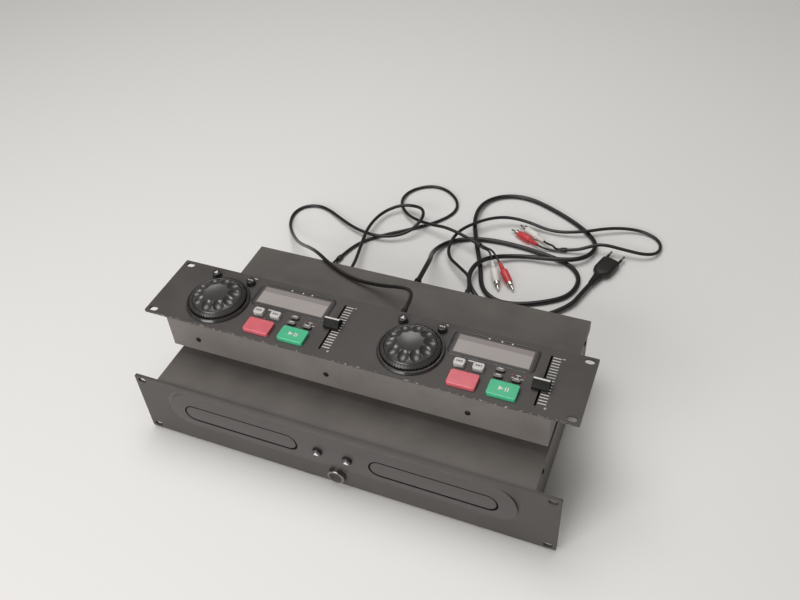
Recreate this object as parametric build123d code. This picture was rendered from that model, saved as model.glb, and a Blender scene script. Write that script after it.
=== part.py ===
from build123d import *
import math
import os

os.makedirs("parts", exist_ok=True)

# A twin disc drive for a 19 inch rack, with the remote controller that stands on its cover.
# Millimetres. +X to the right as the user sees it, +Y to the back, +Z up. The origin is on the
# table, under the middle of the object.

# ---------------------------------------------------------------- rack panels
rack_width = 482.6
rack_height = 88.1
ear_hole_spacing_wide = 465.1
ear_hole_spacing_high = 76.2
ear_slot_length = 10.0
ear_slot_width = 7.0
panel_corner_radius = 1.5

# ---------------------------------------------------------------- clearances
flat_clearance = 0.3
moving_clearance = 0.4
shaft_clearance = 0.08

# ---------------------------------------------------------------- drive casing
drive_panel_thickness = 3.0
drive_depth = 245.0
drive_width = 428.0
sheet_thickness = 1.2
drive_foot_height = 6.0
drive_foot_diameter = 24.0
drive_foot_inset = 32.0
panel_lift = 3.0
cover_drop = 1.5
cover_flange = 14.0
front_flange = 12.0

# ---------------------------------------------------------------- fascia band and tray doors
band_half_length = 200.0
band_height = 50.3
band_middle_above_panel_edge = 54.65
band_edge_rise = 1.2
band_crown = 3.0
tray_spacing = 222.0
door_opening_length = 137.5
door_opening_height = 22.5
door_gap = 1.0
door_depth_behind_face = 2.0
panel_opening_margin = 1.0

# ---------------------------------------------------------------- trays
tray_width = 126.0
tray_runner_width = 3.0
tray_runner_thickness = 3.0
tray_skirt_depth = 8.0
tray_skirt_wall = 2.0
tray_back_gap = 12.0
tray_travel = 132.0
tray_plate_thickness = 4.8
disc_centre_behind_door = 68.0
disc_well_radius = 60.4
disc_well_depth = 1.6
small_disc_well_radius = 40.4
small_disc_well_depth = 1.0
spindle_slot_radius = 19.0
spindle_slot_length = 92.0
finger_notch_radius = 16.0

# ---------------------------------------------------------------- loader gear and rack
gear_module = 1.25
gear_teeth = 20
pressure_angle = 20.0
tooth_backlash = 0.3
gear_thickness = 2.6
gear_flange_radius = 8.5
gear_post_radius = 2.0
gear_behind_face = 25.0
rack_inset = 13.0
rack_bar_width = 4.0

# ---------------------------------------------------------------- loader frame and laser unit
loader_board_gap = 4.3
loader_wall = 2.5
loader_floor_height = 13.0
loader_floor_thickness = 2.5
loader_top_above_tray = 3.5
loader_leg_radius = 4.0
bridge_thickness = 3.0
bridge_length = 38.0
clamp_radius = 14.0
clamp_height = 4.0
clamp_gap = 3.5
laser_plate_width = 92.0
laser_plate_length = 112.0
laser_plate_thickness = 2.0
laser_plate_above_floor = 13.5
turntable_radius = 13.0
turntable_thickness = 2.4
spindle_motor_radius = 11.0
sled_rod_radius = 1.5
sled_rod_half_spacing = 20.0
motor_radius = 12.2
motor_height = 12.3
pulley_radius = 4.0

# ---------------------------------------------------------------- drive buttons
open_button_diameter = 11.0
open_button_proud = 4.0
open_button_spacing = 34.6
open_button_travel = 1.0
power_button_diameter = 20.0
power_button_proud = 5.5
power_button_above_panel_edge = 16.5
power_button_travel = 3.0
button_stem_diameter = 5.0

# ---------------------------------------------------------------- boards and rear sockets
board_thickness = 1.6
board_gap = 1.0
standoff_height = 8.0
standoff_radius = 3.0
main_board_length = 344.0
main_board_width = 44.0
supply_board_width = 66.0
supply_board_gap = 20.8
supply_board_behind_face = 28.0
phono_radius = 4.15
phono_reach = 9.5
phono_pair_spacing = 14.0
phono_height_above_board = 9.0
phono_left_x = -155.0
phono_right_x = 40.0
control_socket_x = -121.0
control_socket_radius = 6.6
socket_wall = 1.2
relief_x = -13.0
relief_middle = 55.0
relief_neck_radius = 6.7
relief_flange_radius = 9.0
relief_flange_thickness = 3.0
relief_length = 38.0
relief_end_radius = 4.6
relief_rings = 6
relief_groove_depth = 1.1

# ---------------------------------------------------------------- controller casing
controller_setback = 46.0
controller_panel_thickness = 2.5
controller_box_width = 428.0
controller_box_height = 42.5
controller_box_inset = 1.0
controller_foot_height = 15.0
controller_foot_diameter = 15.0
controller_foot_spacing = 274.0
controller_foot_inset = 25.0
board_below_panel = 9.0
controller_board_width = 414.0
controller_board_depth = 74.0
controller_lead_x = 22.0

# ---------------------------------------------------------------- one deck of controls
# Places are from the deck's middle and from the panel's front edge.
deck_pitch = 228.0
jog_place = (-56.0, 39.3)
eject_place = (-78.5, 75.3)
select_place = (-34.6, 75.6)
display_place = (24.6, 64.1)
search_back_place = (-2.7, 36.8)
search_forward_place = (17.3, 36.8)
cue_place = (7.6, 16.3)
play_place = (48.4, 16.3)
upper_oval_place = (38.4, 41.3)
lower_oval_place = (38.4, 32.8)
outer_oval_place = (57.0, 32.8)
fader_place = (81.6, 43.8)

jog_collar_radius = 35.5
jog_collar_inner_radius = 32.3
jog_collar_height = 3.4
shuttle_radius = 31.5
shuttle_skirt_height = 8.4
shuttle_top_radius = 28.6
shuttle_top_height = 11.2
shuttle_ribs = 60
shuttle_rib_depth = 0.9
shuttle_floor_thickness = 1.4
shuttle_sleeve_radius = 6.0
jog_dial_radius = 27.6
jog_rim_height = 11.0
jog_crown_radius = 20.5
jog_crown_height = 12.8
jog_middle_height = 9.8
jog_shaft_radius = 3.0
jog_dimples = 10
dimple_distance = 19.0
dimple_half_length = 6.2
dimple_half_width = 3.9
dimple_rise = 1.7
encoder_radius = 10.0
encoder_height = 3.0

big_button_length = 30.0
big_button_width = 19.0
big_button_height = 4.4
search_button_length = 11.6
search_button_width = 8.8
search_button_height = 5.0
oval_button_length = 9.5
oval_button_width = 4.5
oval_button_height = 3.0
round_button_diameter = 10.0
round_button_height = 6.0
button_flange = 1.0
button_flange_thickness = 1.0
button_travel = 1.0
button_edge_round = 0.8
switch_height = 3.5
switch_width = 6.0

display_length = 89.6
display_width = 33.0
display_corner_radius = 6.0
display_rise = 0.4
display_module_length = 84.0
display_module_width = 29.0

fader_travel = 60.0
fader_slot_width = 2.2
fader_slot_end = 3.4
fader_lever_width = 1.2
fader_lever_length = 5.0
fader_cap_width = 17.0
fader_cap_length = 14.0
fader_cap_base = 1.5
fader_cap_height = 10.9
fader_cap_ridge = 3.0
fader_body_width = 9.0
fader_body_length = 75.0
fader_body_height = 6.4
left_fader_rest = 1.1
right_fader_rest = -9.2

# ---------------------------------------------------------------- leads
mains_lead_diameter = 6.5
audio_lead_diameter = 4.6
audio_tail_diameter = 3.0
control_lead_diameter = 4.8
plug_bore_clearance = 0.1

control_plug_length = 25.6
control_plug_radius = 6.4
control_plug_pin_depth = 5.0
jack_plug_length = 30.6
phono_plug_radius = 5.5
phono_plug_length = 49.0
phono_pin_radius = 1.6
phono_pin_length = 9.0
fork_sleeve_radius = 3.6
fork_sleeve_length = 9.0
fork_spread = 1.75
tail_lead_in = 7.0

mains_plug_width = 26.0
mains_plug_thickness = 13.6
mains_plug_length = 34.0
mains_plug_relief_length = 22.0
mains_pin_diameter = 4.0
mains_pin_length = 19.0
mains_pin_spacing = 19.0

# ---------------------------------------------------------------- levels and planes worked out
front_reach = band_edge_rise + band_crown + open_button_proud
face_y = (front_reach - (drive_depth + phono_reach)) / 2
panel_back_y = face_y + drive_panel_thickness
rear_y = face_y + drive_depth
rear_inner_y = rear_y - sheet_thickness
pan_width = drive_width - 2 * (sheet_thickness + flat_clearance)
pan_floor = drive_foot_height + sheet_thickness
cover_top = panel_lift + rack_height - cover_drop
cover_underside = cover_top - sheet_thickness
band_z = panel_lift + band_middle_above_panel_edge
band_crest_y = face_y - band_edge_rise - band_crown
band_curve_radius = ((band_height / 2) ** 2 + band_crown**2) / (2 * band_crown)

tray_top = band_z + tray_runner_thickness / 2
tray_front_y = face_y + door_depth_behind_face
tray_underside = tray_top - tray_plate_thickness
tray_skirt_bottom = tray_top - tray_skirt_depth
disc_centre_y = tray_front_y + disc_centre_behind_door

gear_pitch_radius = gear_module * gear_teeth / 2
tooth_pitch = math.pi * gear_module
gear_y = face_y + gear_behind_face
rack_pitch_x = -tray_width / 2 + rack_inset + rack_bar_width + 1.25 * gear_module
gear_x = rack_pitch_x + gear_pitch_radius
gear_bottom = tray_underside - gear_thickness - moving_clearance

loader_floor = pan_floor + loader_floor_height
loader_floor_top = loader_floor + loader_floor_thickness
loader_front_y = panel_back_y + sheet_thickness + flat_clearance
loader_inner = tray_width / 2 + moving_clearance
loader_outer = loader_inner + tray_runner_width + loader_wall
loader_top = tray_top + loader_top_above_tray
bridge_top = tray_skirt_bottom - turntable_thickness - 2 * moving_clearance

board_underside = pan_floor + standoff_height
board_top = board_underside + board_thickness
phono_z = board_top + phono_height_above_board
main_board_back_y = rear_inner_y - board_gap
main_board_front_y = main_board_back_y - main_board_width
supply_board_front_y = face_y + supply_board_behind_face
supply_board_back_y = main_board_front_y - supply_board_gap
loader_back_y = main_board_front_y - loader_board_gap
tray_back_y = loader_back_y - loader_wall - tray_back_gap

controller_front_y = face_y + controller_setback
box_bottom = cover_top + controller_foot_height
controller_underside = box_bottom + controller_box_height
controller_top = controller_underside + controller_panel_thickness
box_front_y = controller_front_y + controller_box_inset
box_back_y = controller_front_y + rack_height - controller_box_inset
control_board_top = controller_underside - board_below_panel
control_lead_z = control_board_top - board_thickness - control_socket_radius - 1.0

SIDES = (("left", -1), ("right", 1))

# ---------------------------------------------------------------- routes of the leads
# Each point is X, the distance behind the drive's rear face, and the height above the table.
# The ends that meet a socket, a strain relief or a plug come from those pieces.
MAINS_ROUTE = [
    (-13, 62, 55), (-17, 95, 46), (-31, 130, 18.5), (-33, 164, 5.5), (-15, 190, 3.3),
    (27, 205, 3.3), (80, 203, 3.4), (126, 195, 3.3), (157, 184, 3.3), (173, 159, 3.3),
    (166, 124, 3.3), (137, 102, 3.3), (102, 86, 3.3), (74, 85, 3.3), (50, 104, 3.3),
    (38, 141, 5), (16, 188, 10.5), (-3, 237, 10.5), (-4, 283, 5.5), (20, 312, 3.3),
    (58, 318, 3.3), (104, 299, 3.3), (149, 272, 3.3), (176, 244, 4.5), (178, 216, 8.5),
    (162, 192, 10.5), (130, 183, 10.5), (82, 181, 5.5), (39, 155, 13), (27, 119, 13),
    (41, 86, 9), (83, 62, 3.5), (134, 68, 3.3), (172, 104, 5.6), (180.5, 131, 7.2),
    (187.5, 153, 7.2),
]
AUDIO_LEFT_ROUTE = [
    (-157, 104, 3.8), (-151, 136, 2.4), (-121, 167, 2.4), (-86, 193, 2.4), (-54, 221, 2.4),
    (-36, 251, 2.4), (-42, 279, 2.4), (-68, 302, 2.4), (-96, 304, 2.4), (-122, 282, 2.5),
    (-125, 248, 5), (-101, 216, 7.5), (-62, 198, 14), (-20, 189, 23.4), (20, 174, 19),
]
AUDIO_RIGHT_ROUTE = [
    (40, 79, 17), (37, 102, 18), (16, 119, 16.5), (-15, 147, 9.5), (-16, 188, 17),
    (7, 223, 17), (36, 247, 15.5), (70, 253.5, 11), (112, 246, 5.5), (152, 253, 10),
    (188, 275, 10), (222, 288, 6), (248, 285, 2.9), (262, 270, 2.6), (262, 247, 5.5),
    (248, 232, 9.5), (221, 229, 13), (186, 227, 18), (168, 220, 12.6), (155, 216, 7.4),
    (141, 214, 5.3),
]
CONTROL_ROUTE = [
    (22, -66, 128.9), (17, -47, 124.5), (1, -35, 111.5), (-31, -31, 97.6), (-72, -28, 92.6),
    (-110, -10, 94.5), (-138, 10, 91.5), (-165, 34, 74), (-192, 62, 49), (-219, 91, 27),
    (-244, 121, 11), (-263, 148, 3.6), (-270, 174, 2.7), (-262, 194, 2.7), (-242, 203, 2.7),
    (-220, 197, 3.5), (-193, 180, 6), (-160, 162, 8), (-120, 155, 8), (-84, 169, 11.5),
    (-69, 197, 20.5), (-75, 221, 20.5), (-95, 234, 14), (-118, 231, 12), (-138, 208, 10),
    (-142, 165, 14), (-134, 120, 14), (-125, 82, 19), (-121, 52, 25.8),
]
# The split ends of the audio leads, white first, then red.
TAILS_TO_LEFT_JACKS = (
    [(-161.8, 50, 22), (-161.2, 64, 14), (-160.6, 78, 7)],
    [(-148.6, 50, 22), (-150.6, 64, 14), (-154, 78, 7)],
)
TAILS_TO_RIGHT_JACKS = ([(35.5, 51, 21.5)], [(46.3, 50.5, 22)])
TAILS_TO_NEAR_PLUGS = ([(42.5, 163, 19.6)], [(47, 166, 18.4)])
TAILS_TO_FAR_PLUGS = ([], [(115, 209.4, 3.1)])
# Where each loose plug's strain relief starts, and where its pin ends.
NEAR_PLUGS = (((52, 148.5, 14.6), (74, 106, 3.7)), ((62.5, 148.5, 14), (93, 112, 3.8)))
FAR_PLUGS = (((106, 222, 5.6), (69.5, 244.5, 5.6)), ((99, 212, 5.6), (61, 231, 5.6)))


# ---------------------------------------------------------------- small helpers
def slab(x_range, y_range, z_range):
    """A plain block between two corners."""
    sizes = [high - low for low, high in (x_range, y_range, z_range)]
    middles = [(high + low) / 2 for low, high in (x_range, y_range, z_range)]
    return Pos(*middles) * Box(*sizes)


def upright(outline, place, bottom, top):
    """A vertical prism of an outline, between two levels."""
    return extrude(Pos(place[0], place[1], bottom) * outline, top - bottom)


def rod(radius, place, bottom, top):
    """A vertical round bar."""
    return upright(Circle(radius), place, bottom, top)


def level(outline, x, z, front, back):
    """A prism of an upright outline seen from the front, from one depth to another."""
    plane = Plane(origin=(x, back, z), x_dir=(1, 0, 0), z_dir=(0, -1, 0))
    return extrude(plane * outline, back - front)


def stadium(length, height):
    """A flat bar outline with round ends."""
    return SlotOverall(length, height)


def soften(solid, edges, radius):
    """Rounds the chosen edges."""
    return fillet(edges, radius) if edges else solid


def save(name, shape):
    """Writes one piece, or a group of like pieces, under its own name."""
    shape.label = name
    export_step(shape, f"parts/{name}.step")


# ---------------------------------------------------------------- rack panels
def rack_blank():
    """A 2U rack panel with its four ear slots, as a flat outline."""
    blank = RectangleRounded(rack_width, rack_height, panel_corner_radius)
    for x in (-ear_hole_spacing_wide / 2, ear_hole_spacing_wide / 2):
        for y in (-ear_hole_spacing_high / 2, ear_hole_spacing_high / 2):
            blank -= Pos(x, y) * stadium(ear_slot_length, ear_slot_width)
    return blank


def drive_front_panel():
    panel_middle = panel_lift + rack_height / 2
    panel = level(rack_blank(), 0, panel_middle, face_y, panel_back_y)
    opening = stadium(
        door_opening_length + 2 * panel_opening_margin,
        door_opening_height + 2 * panel_opening_margin,
    )
    for _, side in SIDES:
        panel -= level(opening, side * tray_spacing / 2, band_z, face_y - 1, panel_back_y + 1)
        stem_hole = Circle(button_stem_diameter / 2 + flat_clearance)
        panel -= level(
            stem_hole, side * open_button_spacing / 2, band_z, face_y - 1, panel_back_y + 1
        )
    power_hole = Circle(power_button_diameter / 2 + flat_clearance)
    power_z = panel_lift + power_button_above_panel_edge
    return panel - level(power_hole, 0, power_z, face_y - 1, panel_back_y + 1)


def crowned(outline, x, back):
    """A prism whose front follows the band's convex face."""
    prism = level(outline, x, band_z, band_crest_y - 1, back)
    roll_y = band_crest_y + band_curve_radius
    roll = Pos(x, roll_y, band_z) * Rot(0, 90, 0) * Cylinder(band_curve_radius, rack_width)
    return prism & roll


def drive_fascia():
    band = crowned(stadium(2 * band_half_length, band_height), 0, face_y)
    opening = stadium(door_opening_length, door_opening_height)
    for _, side in SIDES:
        band -= level(opening, side * tray_spacing / 2, band_z, band_crest_y - 2, face_y + 1)
        cap_hole = Circle(open_button_diameter / 2 + flat_clearance)
        band -= level(
            cap_hole, side * open_button_spacing / 2, band_z, band_crest_y - 2, face_y + 1
        )
    return band


def tray_door(side):
    outline = stadium(
        door_opening_length - 2 * door_gap, door_opening_height - 2 * door_gap
    )
    return crowned(outline, side * tray_spacing / 2, tray_front_y)


# ---------------------------------------------------------------- drive casing
def drive_base_pan():
    half = pan_width / 2
    outer = slab((-half, half), (panel_back_y, rear_inner_y), (drive_foot_height, cover_underside))
    inner_half = half - sheet_thickness
    hollow = slab(
        (-inner_half, inner_half),
        (panel_back_y + sheet_thickness, rear_inner_y + 1),
        (pan_floor, cover_underside + 1),
    )
    front_window = slab(
        (-half + front_flange, half - front_flange),
        (panel_back_y - 1, panel_back_y + sheet_thickness + 1),
        (pan_floor, cover_underside + 1),
    )
    pan = outer - hollow - front_window
    for place in main_board_posts() + supply_board_posts():
        pan += rod(standoff_radius, place, pan_floor, board_underside)
    return pan


def main_board_posts():
    """Where the main board's standoffs stand."""
    x = main_board_length / 2 - 2 * standoff_radius
    back = main_board_back_y - 2 * standoff_radius
    front = main_board_front_y + 2 * standoff_radius
    return [(-x, front), (x, front), (-x, back), (x, back)]


def supply_board_posts():
    """Where the power supply board's standoffs stand."""
    x = supply_board_width / 2 - 2 * standoff_radius
    front = supply_board_front_y + 2 * standoff_radius
    back = supply_board_back_y - 2 * standoff_radius
    return [(-x, front), (x, front), (-x, back), (x, back)]


def drive_top_cover():
    half = drive_width / 2
    top = slab((-half, half), (panel_back_y, rear_y), (cover_underside, cover_top))
    for _, side in SIDES:
        edges = sorted((side * half, side * (half - sheet_thickness)))
        top += slab(edges, (panel_back_y, rear_y), (cover_top - cover_flange, cover_top))
    return top


def drive_rear_panel():
    half = pan_width / 2
    back = slab((-half, half), (rear_inner_y, rear_y), (drive_foot_height, cover_underside))
    for x, z in phono_places():
        back -= level(
            Circle(phono_radius + flat_clearance), x, z, rear_inner_y - 1, rear_y + 1
        )
    socket_hole = Circle(control_socket_radius + flat_clearance)
    back -= level(socket_hole, control_socket_x, phono_z, rear_inner_y - 1, rear_y + 1)
    relief_hole = Circle(relief_neck_radius + flat_clearance)
    return back - level(relief_hole, relief_x, relief_middle, rear_inner_y - 1, rear_y + 1)


def feet(radius, height, places, bottom):
    """Round feet, a little wider at the top than at the sole."""
    sole = radius * 0.86
    profile = make_face(Polyline((0, 0), (sole, 0), (radius, height), (0, height), close=True))
    foot = revolve(Plane.XZ * profile, Axis.Z)
    return Compound([Pos(x, y, bottom) * foot for x, y in places])


def drive_feet():
    x = pan_width / 2 - drive_foot_inset
    front = panel_back_y + drive_foot_inset
    back = rear_y - drive_foot_inset
    places = [(-x, front), (x, front), (-x, back), (x, back)]
    return feet(drive_foot_diameter / 2, drive_foot_height, places, 0)


# ---------------------------------------------------------------- trays, racks and gears
def tray_x(side):
    return side * tray_spacing / 2


def rack_teeth(front, back):
    """A straight toothed bar along Y, as a flat outline in the tray's own X."""
    bar_left = rack_pitch_x - 1.25 * gear_module - rack_bar_width
    root = rack_pitch_x - 1.25 * gear_module
    tip = rack_pitch_x + 0.9 * gear_module
    slope = math.tan(math.radians(pressure_angle))
    half_thickness = tooth_pitch / 4 - tooth_backlash / 2
    half_root = half_thickness + 1.25 * gear_module * slope
    half_tip = half_thickness - 0.9 * gear_module * slope
    points = [(bar_left, front), (root, front)]
    first = math.ceil((front - gear_y) / tooth_pitch)
    last = math.floor((back - gear_y) / tooth_pitch) - 1
    for count in range(first, last):
        middle = gear_y + (count + 0.5) * tooth_pitch
        points += [(root, middle - half_root), (tip, middle - half_tip)]
        points += [(tip, middle + half_tip), (root, middle + half_root)]
    points += [(root, back), (bar_left, back)]
    return make_face(Polyline(*points, close=True))


def tray(side):
    back = tray_back_y
    half = tray_width / 2
    body = slab((-half, half), (tray_front_y, back), (tray_skirt_bottom, tray_top))
    body -= slab(
        (-half + tray_skirt_wall, half - tray_skirt_wall),
        (tray_front_y + tray_skirt_wall, back - tray_skirt_wall),
        (tray_skirt_bottom - 1, tray_underside),
    )
    runner_half = half + tray_runner_width
    runner_level = (tray_top - tray_runner_thickness, tray_top)
    body += slab((-runner_half, runner_half), (tray_front_y + 4, back), runner_level)
    centre = (0, disc_centre_y)
    body -= rod(disc_well_radius, centre, tray_top - disc_well_depth, tray_top + 1)
    small_floor = tray_top - disc_well_depth - small_disc_well_depth
    body -= rod(small_disc_well_radius, centre, small_floor, tray_top + 1)
    slot = Pos(0, spindle_slot_length / 2) * SlotOverall(
        spindle_slot_length + 2 * spindle_slot_radius, 2 * spindle_slot_radius, rotation=90
    )
    body -= upright(slot, centre, tray_underside - 1, tray_top + 1)
    body += upright(
        rack_teeth(tray_front_y + tray_skirt_wall, back - tray_skirt_wall),
        (0, 0),
        tray_skirt_bottom,
        tray_underside,
    )
    return Pos(tray_x(side), 0, 0) * body


def involute(angle):
    return math.tan(angle) - angle


def gear_outline():
    """Teeth with involute flanks, thinned by half the backlash."""
    base = gear_pitch_radius * math.cos(math.radians(pressure_angle))
    root = gear_pitch_radius - 1.25 * gear_module
    tip = gear_pitch_radius + 0.9 * gear_module
    half_at_pitch = math.pi / (2 * gear_teeth) - tooth_backlash / (2 * gear_pitch_radius)
    start = half_at_pitch + involute(math.radians(pressure_angle))
    radii = [base + (tip - base) * step / 3 for step in range(4)]
    flank = [(root, start)] + [(r, start - involute(math.acos(base / r))) for r in radii]
    points = []
    for tooth in range(gear_teeth):
        middle = 2 * math.pi * tooth / gear_teeth
        rising = [(r, middle - angle) for r, angle in flank]
        falling = [(r, middle + angle) for r, angle in reversed(flank)]
        points += [(r * math.cos(a), r * math.sin(a)) for r, a in rising + falling]
    return make_face(Polyline(*points, close=True))


def loader_gear(side):
    gear = upright(gear_outline(), (0, 0), gear_bottom, gear_bottom + gear_thickness)
    hub_bottom = bridge_top + moving_clearance
    gear += rod(gear_flange_radius, (0, 0), hub_bottom, gear_bottom)
    bore = gear_post_radius + shaft_clearance
    gear -= rod(bore, (0, 0), hub_bottom - 1, gear_bottom + gear_thickness + 1)
    return Pos(tray_x(side) + gear_x, gear_y, 0) * gear


# ---------------------------------------------------------------- loader frame, laser unit, motor
def loader_frame(side):
    back = loader_back_y
    frame = slab((-loader_outer, loader_outer), (loader_front_y, back), (loader_floor, loader_top))
    frame -= slab(
        (-loader_inner, loader_inner),
        (loader_front_y - 1, back - loader_wall),
        (loader_floor_top, loader_top + 1),
    )
    groove = loader_inner + tray_runner_width
    frame -= slab(
        (-groove, groove),
        (loader_front_y - 1, back - loader_wall),
        (tray_top - tray_runner_thickness - moving_clearance, tray_top + moving_clearance),
    )
    frame -= slab((-38, 38), (loader_front_y + 60, back - 30), (loader_floor - 1, loader_floor_top + 1))
    bridge = slab(
        (-loader_inner, loader_inner),
        (loader_front_y, loader_front_y + bridge_length),
        (bridge_top - bridge_thickness, bridge_top),
    )
    motor_hole = rod(pulley_radius + 1, motor_place(), bridge_top - 5, bridge_top + 1)
    frame += bridge - motor_hole
    post_top = gear_bottom + gear_thickness
    frame += rod(gear_post_radius, (gear_x, gear_y), bridge_top, post_top)
    frame += clamp_bridge()
    for x in (-loader_outer + 6, loader_outer - 6):
        for y in (loader_front_y + 10, back - 10):
            frame += rod(loader_leg_radius, (x, y), pan_floor, loader_floor)
    return Pos(tray_x(side), 0, 0) * frame


def clamp_bridge():
    """The arm over the disc, with the clamp that presses the disc to the turntable."""
    underside = tray_top + clamp_gap + clamp_height
    arm_y = (disc_centre_y - clamp_radius, disc_centre_y + clamp_radius)
    arm = slab((-loader_outer, loader_outer), arm_y, (underside, underside + 2))
    for side in (-1, 1):
        edges = sorted((side * loader_outer, side * (loader_outer - loader_wall)))
        arm += slab(edges, arm_y, (loader_top, underside))
    return arm + rod(clamp_radius, (0, disc_centre_y), tray_top + clamp_gap, underside)


def motor_place():
    """The loader motor's axis, in the tray's own X."""
    return (gear_x + 36, gear_y)


def loader_motors():
    """A flat round motor under each bridge, with its shaft and pulley above."""
    x, y = motor_place()
    top = bridge_top - bridge_thickness
    motor = rod(motor_radius, (x, y), top - motor_height, top)
    motor += rod(1.0, (x, y), top, bridge_top + 4)
    motor += rod(pulley_radius, (x, y), bridge_top + 0.6, bridge_top + 3.2)
    return Compound([Pos(tray_x(side), 0, 0) * motor for _, side in SIDES])


def laser_units():
    """Spindle and laser sled on a plate that stands on the loader's floor."""
    low = loader_floor_top + laser_plate_above_floor
    high = low + laser_plate_thickness
    half = laser_plate_width / 2
    front = disc_centre_y - 22
    back = front + laser_plate_length
    unit = slab((-half, half), (front, back), (low, high))
    unit -= slab((-14, 14), (disc_centre_y + 16, back - 10), (low - 1, high + 1))
    for x in (-half + 4, half - 4):
        for y in (front + 4, back - 4):
            unit += rod(3, (x, y), loader_floor_top, low)
    turntable_top = tray_skirt_bottom - 2 * moving_clearance
    unit += rod(spindle_motor_radius, (0, disc_centre_y), high, turntable_top - turntable_thickness - 1)
    unit += rod(2, (0, disc_centre_y), high, turntable_top)
    unit += rod(
        turntable_radius, (0, disc_centre_y), turntable_top - turntable_thickness, turntable_top
    )
    rod_z = high + 3
    for x in (-sled_rod_half_spacing, sled_rod_half_spacing):
        bar = Pos(x, (disc_centre_y + 14 + back) / 2, rod_z) * Rot(90, 0, 0)
        unit += bar * Cylinder(sled_rod_radius, back - disc_centre_y - 14)
        for y in (disc_centre_y + 15, back - 3):
            unit += slab((x - 3, x + 3), (y - 2, y + 2), (high, rod_z + 2.5))
    sled_y = (disc_centre_y + 28, disc_centre_y + 54)
    reach = sled_rod_half_spacing + 4
    unit += slab((-reach, reach), sled_y, (rod_z - 2, rod_z + 4))
    unit += rod(3.4, (0, disc_centre_y + 41), rod_z + 4, rod_z + 5.6)
    return Compound([Pos(tray_x(side), 0, 0) * unit for _, side in SIDES])


# ---------------------------------------------------------------- boards and sockets of the drive
def phono_places():
    """Axes of the phono jacks, as X and Z."""
    half = phono_pair_spacing / 2
    return [(x + step, phono_z) for x in (phono_left_x, phono_right_x) for step in (-half, half)]


def main_board():
    half = main_board_length / 2
    front = main_board_front_y
    board = slab((-half, half), (front, main_board_back_y), (board_underside, board_top))
    board += slab((-60, -30), (front + 6, front + 26), (board_top, board_top + 2))
    board += slab((80, 130), (front + 5, front + 35), (board_top, board_top + 12))
    board += slab((20, 40), (front + 6, front + 26), (board_top, board_top + 1.6))
    for x in (-126, -116, 64):
        board += rod(4, (x, front + 10), board_top, board_top + 11)
    return board


def power_supply():
    half = supply_board_width / 2
    front, back = supply_board_front_y, supply_board_back_y
    board = slab((-half, half), (front, back), (board_underside, board_top))
    board += slab((-24, 24), (front + 60, front + 112), (board_top, board_top + 8))
    core_z = (board_top + 2, board_top + 42)
    board += slab((-21, 21), (front + 68, front + 104), core_z)
    power_z = panel_lift + power_button_above_panel_edge
    board += slab((-8, 8), (front, front + 22), (board_top, power_z + 6))
    for y in (front + 34, back - 24):
        board += rod(8, (-18, y), board_top, board_top + 25)
    for fin in range(5):
        x = 8 + 5 * fin
        board += slab((x, x + 1.5), (front + 28, front + 54), (board_top, board_top + 28))
    return board + slab((8, 29.5), (front + 28, front + 54), (board_top, board_top + 3))


def rear_sockets():
    """Four phono jacks and the control socket, standing on the main board."""
    inside = (rear_inner_y - 11, rear_inner_y - flat_clearance)
    pieces = []
    for x, z in phono_places():
        jack = slab((x - 5.5, x + 5.5), inside, (board_top, z + 6))
        jack += level(Circle(phono_radius), x, z, inside[1], rear_y + phono_reach)
        jack -= level(Circle(1.7), x, z, rear_y + 1, rear_y + phono_reach + 1)
        pieces.append(jack)
    x = control_socket_x
    socket = slab((x - 9, x + 9), inside, (board_top, phono_z + 8))
    socket += level(Circle(control_socket_radius), x, phono_z, inside[1], rear_y)
    socket -= level(Circle(control_socket_radius - socket_wall), x, phono_z, rear_y - 7, rear_y + 1)
    pieces.append(socket)
    return Compound(pieces)


def mains_relief():
    """The tapered, ringed strain relief of the mains lead, snapped into the rear panel."""
    neck, flange = relief_neck_radius, relief_flange_radius
    start = -sheet_thickness - 2.0
    points = [(0, start), (neck + 1.2, start), (neck + 1.2, start + 2), (neck, start + 2)]
    points += [(neck, 0), (flange, 0), (flange, relief_flange_thickness)]
    ring_pitch = (relief_length - relief_flange_thickness) / relief_rings
    for ring in range(relief_rings):
        low = relief_flange_thickness + ring * ring_pitch
        share = (ring + 1) / relief_rings
        outer = neck + (relief_end_radius - neck) * share
        inner = outer - relief_groove_depth
        points += [(inner, low), (inner, low + ring_pitch * 0.4)]
        points += [(outer, low + ring_pitch * 0.4), (outer, low + ring_pitch)]
    points.append((0, relief_length))
    boot = revolve(Plane.XY * make_face(Polyline(*points, close=True)), Axis.Y)
    return Pos(relief_x, rear_y, relief_middle) * boot


# ---------------------------------------------------------------- drive buttons
def open_button(side):
    cap_front = band_crest_y - open_button_proud
    cap_back = face_y - open_button_travel - flat_clearance
    x = side * open_button_spacing / 2
    cap = level(Circle(open_button_diameter / 2), x, band_z, cap_front, cap_back)
    cap = soften(cap, cap.edges().group_by(Axis.Y)[0], button_edge_round)
    return cap + level(
        Circle(button_stem_diameter / 2), x, band_z, cap_back, panel_back_y + 6
    )


def power_button():
    z = panel_lift + power_button_above_panel_edge
    front = face_y - power_button_proud
    radius = power_button_diameter / 2
    body = level(Circle(radius), 0, z, front, panel_back_y + 3)
    body = soften(body, body.edges().group_by(Axis.Y)[0], 1.2)
    dish_radius = radius * 1.6
    dish = Pos(0, front - dish_radius + 2.2, z) * Sphere(dish_radius)
    body -= dish & level(Circle(radius - 2.4), 0, z, front - 5, front + 5)
    plunger_end = face_y + supply_board_behind_face - power_button_travel - flat_clearance
    return body + level(
        Circle(button_stem_diameter / 2), 0, z, panel_back_y + 3, plunger_end
    )


# ---------------------------------------------------------------- controller casing
def deck_x(side):
    return side * deck_pitch / 2


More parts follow.
